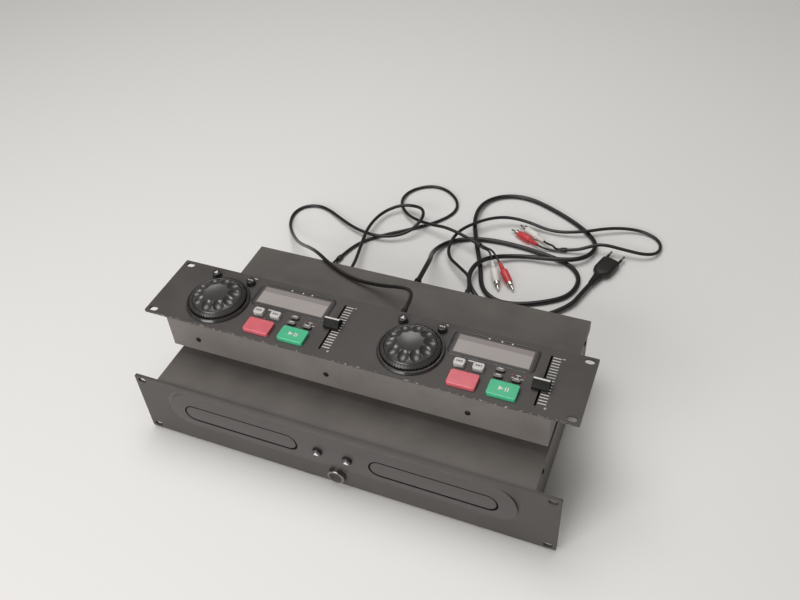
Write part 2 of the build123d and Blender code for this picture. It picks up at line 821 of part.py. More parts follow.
def deck_place(side, place):
    """A place on one deck, as X and Y of the whole object."""
    return (deck_x(side) + place[0], controller_front_y + place[1])


def big_button_outline(grow=0.0):
    return RectangleRounded(big_button_length + 2 * grow, big_button_width + 2 * grow, 2.6 + grow)


def search_button_outline(grow=0.0):
    return RectangleRounded(
        search_button_length + 2 * grow, search_button_width + 2 * grow, 2.4 + grow
    )


def oval_button_outline(grow=0.0):
    return stadium(oval_button_length + 2 * grow, oval_button_width + 2 * grow)


def round_button_outline(grow=0.0):
    return Circle(round_button_diameter / 2 + grow)


DECK_BUTTONS = (
    ("cue_button", big_button_outline, cue_place, big_button_height),
    ("play_button", big_button_outline, play_place, big_button_height),
    ("search_back_button", search_button_outline, search_back_place, search_button_height),
    ("search_forward_button", search_button_outline, search_forward_place, search_button_height),
    ("upper_oval_button", oval_button_outline, upper_oval_place, oval_button_height),
    ("lower_oval_button", oval_button_outline, lower_oval_place, oval_button_height),
    ("outer_oval_button", oval_button_outline, outer_oval_place, oval_button_height),
    ("eject_button", round_button_outline, eject_place, round_button_height),
    ("select_button", round_button_outline, select_place, round_button_height),
)


def display_outline(grow=0.0):
    return RectangleRounded(
        display_length + 2 * grow, display_width + 2 * grow, display_corner_radius + grow
    )


def stud_places():
    """Studs that carry the controller's board, clear of every control."""
    depths = (controller_front_y + 8, controller_front_y + rack_height - 10)
    edge = controller_board_width / 2 - standoff_radius
    spots = [(x, depths[0]) for x in (-edge, -128, 0, edge)]
    return spots + [(x, depths[1]) for x in (-edge, 0, edge)]


def controller_panel():
    middle = (0, controller_front_y + rack_height / 2)
    panel = upright(rack_blank(), middle, controller_underside, controller_top)
    below, above = controller_underside - 1, controller_top + 1
    for _, side in SIDES:
        for _, outline, place, _ in DECK_BUTTONS:
            panel -= upright(outline(flat_clearance), deck_place(side, place), below, above)
        window = deck_place(side, display_place)
        panel -= upright(display_outline(flat_clearance), window, below, above)
        sleeve_hole = shuttle_sleeve_radius + flat_clearance
        panel -= rod(sleeve_hole, deck_place(side, jog_place), below, above)
        slot_length = fader_travel + fader_lever_length + 2 * flat_clearance
        slot = SlotOverall(slot_length + fader_slot_end, fader_slot_width, rotation=90)
        panel -= upright(slot, deck_place(side, fader_place), below, above)
    for place in stud_places():
        panel += rod(standoff_radius, place, control_board_top, controller_underside)
    return panel


def controller_box():
    half = controller_box_width / 2
    box = slab((-half, half), (box_front_y, box_back_y), (box_bottom, controller_underside))
    wall = sheet_thickness
    box -= slab(
        (-half + wall, half - wall),
        (box_front_y + wall, box_back_y - wall),
        (box_bottom + wall, controller_underside + 1),
    )
    return box - level(
        Circle(control_socket_radius + flat_clearance),
        controller_lead_x,
        control_lead_z,
        box_back_y - 3,
        box_back_y + 1,
    )


def controller_feet():
    half = controller_foot_spacing / 2
    front = box_front_y + controller_foot_inset
    back = box_back_y - controller_foot_inset
    places = [(-half, front), (half, front), (-half, back), (half, back)]
    return feet(controller_foot_diameter / 2, controller_foot_height, places, cover_top)


def controller_board():
    """The board with its displays, switches, encoders, slide faders and control socket."""
    half = controller_board_width / 2
    middle_y = controller_front_y + rack_height / 2
    depth = (middle_y - controller_board_depth / 2, middle_y + controller_board_depth / 2)
    top = control_board_top
    board = slab((-half, half), depth, (top - board_thickness, top))
    for _, side in SIDES:
        module = Rectangle(display_module_length, display_module_width)
        board += upright(module, deck_place(side, display_place), top, controller_underside)
        switch = Rectangle(switch_width, oval_button_width)
        for _, _, place, _ in DECK_BUTTONS:
            board += upright(switch, deck_place(side, place), top, top + switch_height)
        jog = deck_place(side, jog_place)
        board += rod(encoder_radius, jog, top, top + encoder_height)
        board -= rod(jog_shaft_radius + flat_clearance, jog, top - 3, top + encoder_height + 1)
        fader = deck_place(side, fader_place)
        board += upright(
            Rectangle(fader_body_width, fader_body_length), fader, top, top + fader_body_height
        )
        track = Rectangle(
            fader_lever_width + 2 * flat_clearance,
            fader_travel + fader_lever_length + 2 * flat_clearance,
        )
        board -= upright(track, fader, top + 1, top + fader_body_height + 1)
    x = controller_lead_x
    socket_y = (box_back_y - sheet_thickness - 12, box_back_y - sheet_thickness - flat_clearance)
    board += slab((x - 9, x + 9), socket_y, (control_lead_z - 8, top - board_thickness))
    board += level(Circle(control_socket_radius), x, control_lead_z, socket_y[1], box_back_y)
    return board - level(
        Circle(control_socket_radius - socket_wall), x, control_lead_z, box_back_y - 7, box_back_y + 1
    )


def display_windows():
    """Clear windows that sit in the panel on the displays."""
    top = controller_top + display_rise
    window = upright(display_outline(), (0, 0), controller_underside, top)
    window = soften(window, window.edges().group_by(Axis.Z)[-1], display_rise * 0.9)
    places = [deck_place(side, display_place) for _, side in SIDES]
    return Compound([Pos(x, y, 0) * window for x, y in places])


# ---------------------------------------------------------------- controls of one deck
def deck_button(side, outline, place, height):
    """A cap that stands through the panel, with a flange below it and a stem to its switch."""
    where = deck_place(side, place)
    flange_top = controller_underside - flat_clearance
    flange_bottom = flange_top - button_flange_thickness
    cap = upright(outline(), where, flange_bottom, controller_top + height)
    cap = soften(cap, cap.edges().group_by(Axis.Z)[-1], button_edge_round)
    cap += upright(outline(button_flange), where, flange_bottom, flange_top)
    stem_end = control_board_top + switch_height + button_travel + flat_clearance
    return cap + rod(1.8, where, stem_end, flange_bottom)


def ring_profile(points):
    """Turns a half section, drawn as radius and height above the panel, about the jog axis."""
    return revolve(Plane.XZ * make_face(Polyline(*points, close=True)), Axis.Z)


def jog_collars():
    bevel = jog_collar_height / 3
    inner, outer, top = jog_collar_inner_radius, jog_collar_radius, jog_collar_height
    points = [(inner, 0), (outer, 0), (outer, top - 2 * bevel), (outer - bevel, top)]
    ring = ring_profile(points + [(inner + bevel / 2, top), (inner, top - bevel / 2)])
    places = [deck_place(side, jog_place) for _, side in SIDES]
    return Compound([Pos(x, y, controller_top) * ring for x, y in places])


def shuttle_ring(side):
    """The ribbed ring round the dial, on a sleeve that turns in the panel."""
    low = moving_clearance
    floor_top = low + shuttle_floor_thickness
    inner = jog_dial_radius + moving_clearance
    sleeve_inner = jog_shaft_radius + moving_clearance
    sleeve_end = control_board_top + encoder_height + flat_clearance - controller_top
    points = [
        (sleeve_inner, floor_top),
        (sleeve_inner, sleeve_end),
        (shuttle_sleeve_radius, sleeve_end),
        (shuttle_sleeve_radius, low),
        (shuttle_radius, low),
        (shuttle_radius, shuttle_skirt_height),
        (shuttle_top_radius, shuttle_top_height),
        (inner, shuttle_top_height),
        (inner, floor_top),
    ]
    ring = ring_profile(points)
    notch = Rectangle(2 * shuttle_rib_depth, math.pi * shuttle_radius / shuttle_ribs)
    notches = Sketch() + [spot * notch for spot in PolarLocations(shuttle_radius, shuttle_ribs)]
    ring -= upright(notches, (0, 0), low - 1, shuttle_skirt_height - 1)
    x, y = deck_place(side, jog_place)
    return Pos(x, y, controller_top) * ring


def jog_dial(side):
    """The dished dial with finger dimples, on the shaft inside the shuttle's sleeve."""
    underside = 2 * moving_clearance + shuttle_floor_thickness
    shaft_end = control_board_top + flat_clearance - controller_top
    crown = (jog_crown_radius, jog_crown_height)
    dish_middle = (jog_crown_radius * 0.55, jog_middle_height + 0.9)
    brow = ((jog_crown_radius + jog_dial_radius) / 2, jog_crown_height - 0.35)
    with BuildSketch(Plane.XZ) as section:
        with BuildLine():
            ThreePointArc((0, jog_middle_height), dish_middle, crown)
            ThreePointArc(crown, brow, (jog_dial_radius, jog_rim_height))
            Polyline(
                (jog_dial_radius, jog_rim_height),
                (jog_dial_radius, underside),
                (jog_shaft_radius, underside),
                (jog_shaft_radius, shaft_end),
                (0, shaft_end),
                (0, jog_middle_height),
            )
        make_face()
    dial = revolve(section.sketch, Axis.Z)
    half_ellipse = Ellipse(dimple_half_length, dimple_half_width)
    half_ellipse -= Pos(0, -dimple_half_width) * Rectangle(
        2 * dimple_half_length, 2 * dimple_half_width
    )
    dimple = revolve(half_ellipse, Axis.X)
    lift = jog_crown_height + dimple_rise
    for turn in range(jog_dimples):
        dial -= Rot(0, 0, 360 * turn / jog_dimples) * Pos(dimple_distance, 0, lift) * dimple
    x, y = deck_place(side, jog_place)
    return Pos(x, y, controller_top) * dial


def fader_cap(side, rest):
    """A finger grip with a raised ridge, on the flat lever of the slide fader."""
    half = fader_cap_length / 2
    ridge = fader_cap_ridge / 2
    waist = fader_cap_base + (fader_cap_height - fader_cap_base) * 0.3
    points = [
        (-half, fader_cap_base),
        (half, fader_cap_base),
        (half, waist),
        (ridge, fader_cap_height),
        (-ridge, fader_cap_height),
        (-half, waist),
    ]
    profile = Plane.YZ * make_face(Polyline(*points, close=True))
    cap = extrude(profile, fader_cap_width / 2, both=True)
    lever_end = control_board_top + 1.5 - controller_top
    cap += slab(
        (-fader_lever_width / 2, fader_lever_width / 2),
        (-fader_lever_length / 2, fader_lever_length / 2),
        (lever_end, fader_cap_base),
    )
    x, y = deck_place(side, fader_place)
    return Pos(x, y + rest, controller_top) * cap


# ---------------------------------------------------------------- leads and their plugs
def behind(spots):
    """Points given from the drive's rear face, as vectors of the whole object."""
    return [Vector(x, rear_y + back, z) for x, back, z in spots]


def lead(name, spots, diameter):
    """A round lead: straight runs joined by arcs as large as the runs allow."""
    radii = []
    for before, here, after in zip(spots, spots[1:], spots[2:]):
        turn = math.radians((here - before).get_angle(after - here))
        shorter = min((here - before).length, (after - here).length)
        radii.append(0.45 * shorter / math.tan(turn / 2))
    path = FilletPolyline(*spots, radius=radii)
    solid = sweep(Plane(origin=path @ 0, z_dir=path % 0) * Circle(diameter / 2), path=path)
    share = solid.volume / (math.pi * diameter**2 / 4 * path.length)
    print(f"{name}: length {path.length:.0f}, least radius {min(radii):.1f}, share {share:.4f}")
    return solid


def turned_piece(profile, start, toward):
    """A turned solid, drawn as distance along and radius, laid from one point to another."""
    outline = make_face(Polyline(*[(radius, along) for along, radius in profile], close=True))
    piece = revolve(Plane.XZ * outline, Axis.Z)
    return Plane(origin=start, z_dir=toward - start) * piece


def control_plug(front, x, z):
    """A round plug that enters a socket at the depth `front` and points to the back."""
    end = control_plug_length
    pin = control_socket_radius - socket_wall - moving_clearance / 2
    cord = control_lead_diameter / 2
    profile = [
        (-control_plug_pin_depth, 0),
        (-control_plug_pin_depth, pin),
        (flat_clearance, pin),
        (flat_clearance, control_plug_radius),
        (end * 0.55, control_plug_radius),
        (end * 0.64, control_plug_radius * 0.72),
        (end * 0.66, cord + 1.6),
        (end, cord + 0.6),
        (end, 0),
    ]
    start = Vector(x, front, z)
    return turned_piece(profile, start, start + Vector(0, 1, 0))


def control_plugs():
    at_controller = control_plug(box_back_y, controller_lead_x, control_lead_z)
    return Compound([at_controller, control_plug(rear_y, control_socket_x, phono_z)])


def control_spots():
    """The control lead, from the plug in the controller to the plug in the drive."""
    start = Vector(controller_lead_x, box_back_y + control_plug_length, control_lead_z)
    end = Vector(control_socket_x, rear_y + control_plug_length, phono_z)
    return [start, *behind(CONTROL_ROUTE), end]


def fork(end, before):
    """The sleeve where an audio lead splits, and the straight starts of its two tails."""
    along = (end - before).normalized()
    across = Vector(-along.Y, along.X, 0).normalized() * fork_spread
    far = end + along * fork_sleeve_length
    radius = fork_sleeve_radius
    profile = [(0, 0), (0, radius), (fork_sleeve_length, radius), (fork_sleeve_length, 0)]
    starts = [[spot, spot + along * tail_lead_in] for spot in (far - across, far + across)]
    return turned_piece(profile, end, far), starts


def jack_plug(x, z):
    """A phono plug on its jack: a bored barrel with a relief behind it."""
    bore = phono_radius + plug_bore_clearance
    depth = phono_reach + flat_clearance
    tail = audio_tail_diameter / 2
    profile = [
        (depth, 0),
        (depth, bore),
        (flat_clearance, bore),
        (flat_clearance, phono_plug_radius - 0.4),
        (flat_clearance + 0.8, phono_plug_radius),
        (jack_plug_length * 0.62, phono_plug_radius),
        (jack_plug_length * 0.7, tail + 1.8),
        (jack_plug_length, tail + 0.9),
        (jack_plug_length, 0),
    ]
    start = Vector(x, rear_y, z)
    return turned_piece(profile, start, start + Vector(0, 1, 0))


def loose_plug(start, tip):
    """A phono plug that lies loose: relief, barrel, collar and pin."""
    barrel = phono_plug_radius
    collar = phono_plug_length - phono_pin_length
    tail = audio_tail_diameter / 2
    profile = [
        (0, 0),
        (0, tail + 0.8),
        (phono_plug_length * 0.24, tail + 1.7),
        (phono_plug_length * 0.3, barrel),
        (collar - 5, barrel),
        (collar - 2, barrel - 1),
        (collar, barrel - 1),
        (collar, phono_pin_radius),
        (phono_plug_length - 1.5, phono_pin_radius),
        (phono_plug_length, 0.5),
        (phono_plug_length, 0),
    ]
    return turned_piece(profile, start, tip)


def audio_set(route, jack_x, jack_tails, plug_tails, plugs):
    """One audio lead: its trunk and four tails, and its two sleeves and four plugs."""
    trunk = behind(route)
    near_sleeve, near_starts = fork(trunk[0], trunk[1])
    far_sleeve, far_starts = fork(trunk[-1], trunk[-2])
    cords = [trunk]
    pieces = [near_sleeve, far_sleeve]
    half = phono_pair_spacing / 2
    for step, start, tail in zip((-half, half), near_starts, jack_tails):
        plug_end = Vector(jack_x + step, rear_y + jack_plug_length, phono_z)
        first = plug_end + Vector(0, tail_lead_in, 0)
        cords.append([plug_end, first, *behind(tail), start[1], start[0]])
        pieces.append(jack_plug(jack_x + step, phono_z))
    for start, tail, plug in zip(far_starts, plug_tails, plugs):
        relief, tip = behind(plug)
        last = relief - (tip - relief).normalized() * tail_lead_in
        cords.append([*start, *behind(tail), last, relief])
        pieces.append(loose_plug(relief, tip))
    return cords, pieces


def audio_lead(name, cords):
    """The trunk and the four tails of one audio lead."""
    solids = [lead(name, cords[0], audio_lead_diameter)]
    for count, spots in enumerate(cords[1:], 1):
        solids.append(lead(f"{name}, tail {count}", spots, audio_tail_diameter))
    return Compound(solids)


def mains_spots():
    start = Vector(relief_x, rear_y + relief_length, relief_middle)
    return [start, *behind(MAINS_ROUTE)]


def mains_plug():
    """A flat two-pin plug with a tapered relief, lying on the table."""
    before, end = behind(MAINS_ROUTE)[-2:]
    along = end - before
    across = Vector(along.Y, -along.X, 0)
    base = Plane(origin=end, x_dir=across, z_dir=along)
    slim = Circle(mains_lead_diameter / 2 + 0.8)
    wide = Circle(mains_plug_thickness / 2 - 0.8)
    relief_end = base.offset(mains_plug_relief_length)
    plug = loft([base * slim, relief_end * wide])
    outline = RectangleRounded(mains_plug_width, mains_plug_thickness, mains_plug_thickness * 0.42)
    plug += extrude(relief_end * outline, mains_plug_length)
    pin_base = base.offset(mains_plug_relief_length + mains_plug_length)
    for x in (-mains_pin_spacing / 2, mains_pin_spacing / 2):
        plug += extrude(pin_base * Pos(x, 0) * Circle(mains_pin_diameter / 2), mains_pin_length)
    return plug


# ---------------------------------------------------------------- write every piece
save("drive_front_panel", drive_front_panel())
save("drive_fascia", drive_fascia())
save("drive_base_pan", drive_base_pan())
save("drive_top_cover", drive_top_cover())
save("drive_rear_panel", drive_rear_panel())
save("drive_feet", drive_feet())
save("main_board", main_board())
save("power_supply", power_supply())
save("rear_sockets", rear_sockets())
save("mains_relief", mains_relief())
save("laser_units", laser_units())
save("loader_motors", loader_motors())
save("power_button", power_button())
save("controller_panel", controller_panel())
save("controller_box", controller_box())
save("controller_feet", controller_feet())
save("controller_board", controller_board())
save("display_windows", display_windows())
save("jog_collars", jog_collars())
fader_rests = {"left": left_fader_rest, "right": right_fader_rest}
for name, side in SIDES:
    save(f"loader_frame_{name}", loader_frame(side))
    save(f"tray_{name}", tray(side))
    save(f"tray_door_{name}", tray_door(side))
    save(f"loader_gear_{name}", loader_gear(side))
    save(f"open_button_{name}", open_button(side))
    save(f"jog_dial_{name}", jog_dial(side))
    save(f"shuttle_ring_{name}", shuttle_ring(side))
    save(f"fader_cap_{name}", fader_cap(side, fader_rests[name]))
    for button, outline, place, height in DECK_BUTTONS:
        save(f"{button}_{name}", deck_button(side, outline, place, height))

left_cords, left_plugs = audio_set(
    AUDIO_LEFT_ROUTE, phono_left_x, TAILS_TO_LEFT_JACKS, TAILS_TO_NEAR_PLUGS, NEAR_PLUGS
)
right_cords, right_plugs = audio_set(
    AUDIO_RIGHT_ROUTE, phono_right_x, TAILS_TO_RIGHT_JACKS, TAILS_TO_FAR_PLUGS, FAR_PLUGS
)
save("mains_lead", lead("mains lead", mains_spots(), mains_lead_diameter))
save("mains_plug", mains_plug())
save("control_lead", lead("control lead", control_spots(), control_lead_diameter))
save("control_plugs", control_plugs())
save("audio_lead_left", audio_lead("left audio lead", left_cords))
save("audio_lead_right", audio_lead("right audio lead", right_cords))
save("audio_plugs", Compound(left_plugs + right_plugs))
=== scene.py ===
# %% [markdown]
# # A twin disc player and its remote controller
# The real thing is a rack drive with two loading trays, and a controller full of buttons that
# stands on its cover. The solids come from the part's own model, so this script only adds the
# looks: leads, plugs, printed marks, screws and finishes. Everything is in metres, in the part's
# own frame: +X right, +Y back, +Z up, with the floor at zero.

import math

import bmesh
import bpy
from mathutils import Euler, Matrix, Vector


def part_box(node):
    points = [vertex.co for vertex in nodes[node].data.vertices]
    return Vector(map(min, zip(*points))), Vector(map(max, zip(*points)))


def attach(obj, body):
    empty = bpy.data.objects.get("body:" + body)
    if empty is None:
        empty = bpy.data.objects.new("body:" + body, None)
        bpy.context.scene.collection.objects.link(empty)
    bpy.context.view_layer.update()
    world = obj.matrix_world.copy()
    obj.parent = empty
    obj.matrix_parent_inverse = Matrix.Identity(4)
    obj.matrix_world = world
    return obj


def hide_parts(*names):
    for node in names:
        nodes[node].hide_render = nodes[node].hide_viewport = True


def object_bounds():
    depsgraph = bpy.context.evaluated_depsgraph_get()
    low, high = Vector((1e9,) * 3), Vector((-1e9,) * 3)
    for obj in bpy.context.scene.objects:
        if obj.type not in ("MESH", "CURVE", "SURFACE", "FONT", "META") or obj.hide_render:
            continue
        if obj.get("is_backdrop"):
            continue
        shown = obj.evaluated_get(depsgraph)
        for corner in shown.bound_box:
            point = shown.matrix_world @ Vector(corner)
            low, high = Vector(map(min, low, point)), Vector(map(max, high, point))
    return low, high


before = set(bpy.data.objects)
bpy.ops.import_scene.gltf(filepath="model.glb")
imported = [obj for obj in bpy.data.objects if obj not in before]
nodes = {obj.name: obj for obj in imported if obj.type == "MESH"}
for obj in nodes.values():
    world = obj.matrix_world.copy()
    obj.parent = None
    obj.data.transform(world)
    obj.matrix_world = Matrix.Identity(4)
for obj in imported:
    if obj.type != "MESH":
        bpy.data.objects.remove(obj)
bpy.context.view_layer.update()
MM = 0.001
SIDES = ("left", "right")


def span(node):
    """The lowest and highest corner of a CAD node, in millimetres."""
    return [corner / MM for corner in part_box(node)]


# %% [markdown]
# ## Where things are
# Each place is read from a CAD node, or is a distance from an edge of one. A deck is one half of
# the controller: its places are given from the deck's middle and from the panel's front edge, as
# they would be on the panel's drawing.

# %% Levels and places
DIAL_FROM_MIDDLE = -56.0

face_y = span("drive_front_panel")[0].y
rear_y = span("drive_rear_panel")[1].y
cover_top = span("drive_top_cover")[1].z
panel_front = span("controller_panel")[0].y
panel_top = span("controller_panel")[1].z
wall_front = span("controller_box")[0].y
band_z = sum(corner.z for corner in span("drive_fascia")) / 2
deck_middle = {
    side: sum(corner.x for corner in span(f"jog_dial_{side}")) / 2 - DIAL_FROM_MIDDLE
    for side in SIDES
}
print("deck middles:", {side: round(x, 2) for side, x in deck_middle.items()})


def on_deck(side, x, y):
    """A place on one deck's panel, in millimetres."""
    return Vector((deck_middle[side] + x, panel_front + y, panel_top))


# %% [markdown]
# ## Camera
# The photograph was taken from above and a little to the right, with the camera tipped slightly.
# The place is written in millimetres, and the direction as three plain angles.

# %% Camera
CAMERA_PLACE = (298.1, -579.2, 778.4)
CAMERA_AZIMUTH = 24.63
CAMERA_ELEVATION = 43.31
CAMERA_ROLL = -4.15
CAMERA_LENS = 37.97


def in_scene(made):
    """Links an object to the scene and gives it back."""
    bpy.context.scene.collection.objects.link(made)
    return made


camera_data = bpy.data.cameras.new("camera")
camera_data.lens = CAMERA_LENS
camera_data.clip_start = 0.05
camera = in_scene(bpy.data.objects.new("camera", camera_data))
upright_turn = Euler((math.radians(90 - CAMERA_ELEVATION), 0, math.radians(CAMERA_AZIMUTH)))
roll_turn = Matrix.Rotation(math.radians(CAMERA_ROLL), 4, "Z")
camera.matrix_world = (
    Matrix.Translation(Vector(CAMERA_PLACE) * MM) @ upright_turn.to_matrix().to_4x4() @ roll_turn
)
bpy.context.scene.camera = camera
print("camera's distance from the origin, mm:", round(Vector(CAMERA_PLACE).length))

# %% [markdown]
# ## A few helpers
# A colour that is written as six digits has to become linear light before a shader reads it. Every
# finish is a new material, and every node in it is added, set and linked in the same way, so both
# have a function.

# %% Colour and nodes
def colour(text):
    """An sRGB hex colour as linear RGBA."""
    parts = [int(text[at : at + 2], 16) / 255 for at in (1, 3, 5)]
    return [p / 12.92 if p <= 0.04045 else ((p + 0.055) / 1.055) ** 2.4 for p in parts] + [1]


def add(tree, kind, sockets=None, **settings):
    """One node with its settings, its values and its links."""
    made = tree.nodes.new(kind)
    for name, value in settings.items():
        setattr(made, name, value)
    for socket, value in (sockets or {}).items():
        if isinstance(value, bpy.types.NodeSocket):
            tree.links.new(value, made.inputs[socket])
        else:
            made.inputs[socket].default_value = value
    return made


def finish_named(name, **values):
    """A new material with its shader's plain values set."""
    material = bpy.data.materials.new(name)
    material.use_nodes = True
    shader = material.node_tree.nodes["Principled BSDF"]
    for socket, value in values.items():
        shader.inputs[socket.replace("_", " ")].default_value = value
    return material, material.node_tree, shader


print("half grey in linear light:", round(colour("#808080")[0], 3))

# %% [markdown]
# Most finishes use the same few shading steps: a place on the object, noise of a real size, a value
# carried to new limits, a sum, a mix of two colours and a fine relief. Each step is one node with a
# short name, so a finish below reads as a list of steps.

# %% Shading steps
NOISE_RANGE = (0.3, 0.7)


def place_in(tree):
    """The place on the object, in metres."""
    return add(tree, "ShaderNodeTexCoord").outputs["Object"]


def coordinates(tree):
    """The X, Y and Z of the place on the object, in metres."""
    return add(tree, "ShaderNodeSeparateXYZ", {"Vector": place_in(tree)}).outputs


def noise(tree, place, size, detail, rough=0.5):
    """Noise with blotches about as large as a size in millimetres."""
    made = add(
        tree, "ShaderNodeTexNoise",
        {"Vector": place, "Scale": 1 / (size * MM), "Detail": detail, "Roughness": rough},
    )
    return made.outputs["Fac"]


def remap(tree, value, low, high, to_low=0.0, to_high=1.0):
    """A value between two limits, carried to two new limits."""
    made = add(
        tree, "ShaderNodeMapRange",
        {"Value": value, "From Min": low, "From Max": high, "To Min": to_low, "To Max": to_high},
    )
    return made.outputs["Result"]


def reckon(tree, operation, *values):
    """The result of one Math node."""
    made = add(tree, "ShaderNodeMath", dict(enumerate(values)), operation=operation)
    return made.outputs["Value"]


def blend(tree, share, under, over):
    """One colour laid over another by a share between 0 and 1."""
    made = add(tree, "ShaderNodeMix", {0: share, 6: under, 7: over}, data_type="RGBA")
    return made.outputs[2]


def cloudy(tree, cloud, tint, stops, gains):
    """A colour that drifts from a darker to a paler shade of itself."""
    tone = add(tree, "ShaderNodeValToRGB", {"Fac": cloud})
    for element, stop, gain in zip(tone.color_ramp.elements, stops, gains):
        element.position = stop
        element.color = [min(c * gain, 1) for c in colour(tint)[:3]] + [1]
    return tone.outputs["Color"]


def uneven_gloss(tree, shader, cloud, low, high):
    """A roughness that follows noise between two limits."""
    tree.links.new(remap(tree, cloud, *NOISE_RANGE, low, high), shader.inputs["Roughness"])


def roughen(tree, shader, height, strength, depth):
    """A fine relief, with its depth in millimetres."""
    bump = add(
        tree, "ShaderNodeBump", {"Height": height, "Strength": strength, "Distance": depth * MM}
    )
    tree.links.new(bump.outputs["Normal"], shader.inputs["Normal"])


print("materials before any finish:", len(bpy.data.materials))

# %% [markdown]
# Every small piece ends in the same way: its doubles are merged, its faces point outwards, and it
# rides on a body with a slot for its material. Its place is already in its points, so the object
# itself stays at the origin.

# %% A finished piece
MERGE_BELOW = 0.005


def piece(name, shape, materials, body, smooth_below=35):
    """A finished mesh object that rides on a body."""
    mesh = bpy.data.meshes.new(name)
    bmesh.ops.remove_doubles(shape, verts=shape.verts, dist=MERGE_BELOW * MM)
    bmesh.ops.recalc_face_normals(shape, faces=shape.faces)
    shape.to_mesh(mesh)
    shape.free()
    for material in materials:
        mesh.materials.append(material)
    mesh.shade_smooth()
    mesh.set_sharp_from_angle(angle=math.radians(smooth_below))
    made = in_scene(bpy.data.objects.new(name, mesh))
    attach(made, body)
    return made


def helper_object(name, shape):
    """An object that isn't linked to the scene yet, with its faces outwards."""
    mesh = bpy.data.meshes.new(name)
    bmesh.ops.recalc_face_normals(shape, faces=shape.faces)
    shape.to_mesh(mesh)
    shape.free()
    return bpy.data.objects.new(name, mesh)


print("points closer than", MERGE_BELOW, "mm are merged")

# %% [markdown]
# Most small pieces are one of three kinds: a turned shape, a lofted shape or a thin print. A turned
# or lofted shape is a row of rings of points with bands of faces between them, closed at both ends.

# %% Rings, turned and lofted shapes
def axes_along(direction):
    """Two directions square to a third, the second as upright as it can be."""
    along = Vector(direction).normalized()
    helper = Vector((0, 0, 1)) if abs(along.z) < 0.9 else Vector((0, 1, 0))
    across = along.cross(helper).normalized()
    return along, across, across.cross(along)


def add_rings(shape, rings, closed_ends=True):
    """Joins rings of points, each given with the material index of the band after it."""
    made = [[shape.verts.new(point * MM) for point in ring] for ring, _ in rings]
    count = len(made[0])
    for (first, second), (_, index) in zip(zip(made, made[1:]), rings):
        for at in range(count):
            after = (at + 1) % count
            face = shape.faces.new((first[at], first[after], second[after], second[at]))
            face.material_index = index
    if closed_ends:
        for ring, index in ((made[0], rings[0][1]), (made[-1], rings[-1][1])):
            shape.faces.new(ring).material_index = index


def add_turned(shape, profile, start, toward, count=32):
    """A turned shape: the profile is distance along, radius and material index."""
    along, across, up = axes_along(toward - start)
    rings = []
    for distance, radius, index in profile:
        ring = []
        for step in range(count):
            angle = 2 * math.pi * step / count
            spoke = across * math.cos(angle) + up * math.sin(angle)
            ring.append(start + along * distance + spoke * radius)
        rings.append((ring, index))
    add_rings(shape, rings)


def add_lofted(shape, sections, start, toward, count=40):
    """A lofted shape: sections are distance, half width, half height, squareness and index."""
    along, across, up = axes_along(toward - start)
    rings = []
    for distance, half_width, half_height, squareness, index in sections:
        ring = []
        for step in range(count):
            angle = 2 * math.pi * step / count
            cos, sin = math.cos(angle), math.sin(angle)
            x = math.copysign(abs(cos) ** (2 / squareness), cos) * half_width
            z = math.copysign(abs(sin) ** (2 / squareness), sin) * half_height
            ring.append(start + along * distance + across * x + up * z)
        rings.append((ring, index))
    add_rings(shape, rings)


print("across the Y axis lies", tuple(axes_along((0, 1, 0))[1]))

# %% [markdown]
# A print is a set of thin upright plates, each with a flat outline.

# %% Plates and their outlines
def add_plates(shape, outlines, low, high, index=0):
    """Thin upright prisms of flat outlines, between two levels."""
    for outline in outlines:
        rings = [([Vector((x, y, z)) for x, y in outline], index) for z in (low, high)]
        add_rings(shape, rings)


def bar(x, y, length, width):
    """A rectangle about a middle."""
    a, b = length / 2, width / 2
    return [(x - a, y - b), (x + a, y - b), (x + a, y + b), (x - a, y + b)]


def arrow(x, y, size, turn):
    """A triangle that points to +X before it is turned."""
    corners = [(-0.45, -0.5), (0.55, 0), (-0.45, 0.5)]
    cos, sin = math.cos(math.radians(turn)), math.sin(math.radians(turn))
    return [(x + size * (u * cos - v * sin), y + size * (u * sin + v * cos)) for u, v in corners]


print("corners of an arrow:", len(arrow(0, 0, 1, 0)), "and of a bar:", len(bar(0, 0, 1, 1)))

# %% [markdown]
# ## Leads
# The leads are soft PVC cables that keep some of the bends they were coiled in. A NURBS curve with
# the route's points as its control points bends as smoothly as a cable does. The points are written
# as in the part's source: X, the distance behind the drive's rear face, and the height above the
# floor. Near the controller, four points of the control lead lie a few millimetres off those of the
# source, so that its first bend is softer.

# %% Routes
MAINS_ROUTE = [
    (-13, 38, 55), (-13, 62, 55), (-17, 95, 46), (-31, 130, 18.5), (-33, 164, 5.5),
    (-15, 190, 3.3), (27, 205, 3.3), (80, 203, 3.4), (126, 195, 3.3), (157, 184, 3.3),
    (173, 159, 3.3), (166, 124, 3.3), (137, 102, 3.3), (102, 86, 3.3), (74, 85, 3.3),
    (50, 104, 3.3), (38, 141, 5), (16, 188, 10.5), (-3, 237, 10.5), (-4, 283, 5.5),
    (20, 312, 3.3), (58, 318, 3.3), (104, 299, 3.3), (149, 272, 3.3), (176, 244, 4.5),
    (178, 216, 8.5), (162, 192, 10.5), (130, 183, 10.5), (82, 181, 5.5), (39, 155, 13),
    (27, 119, 13), (41, 86, 9), (83, 62, 3.5), (134, 68, 3.3), (172, 104, 5.6),
    (180.5, 131, 7.2), (187.5, 153, 7.2),
]
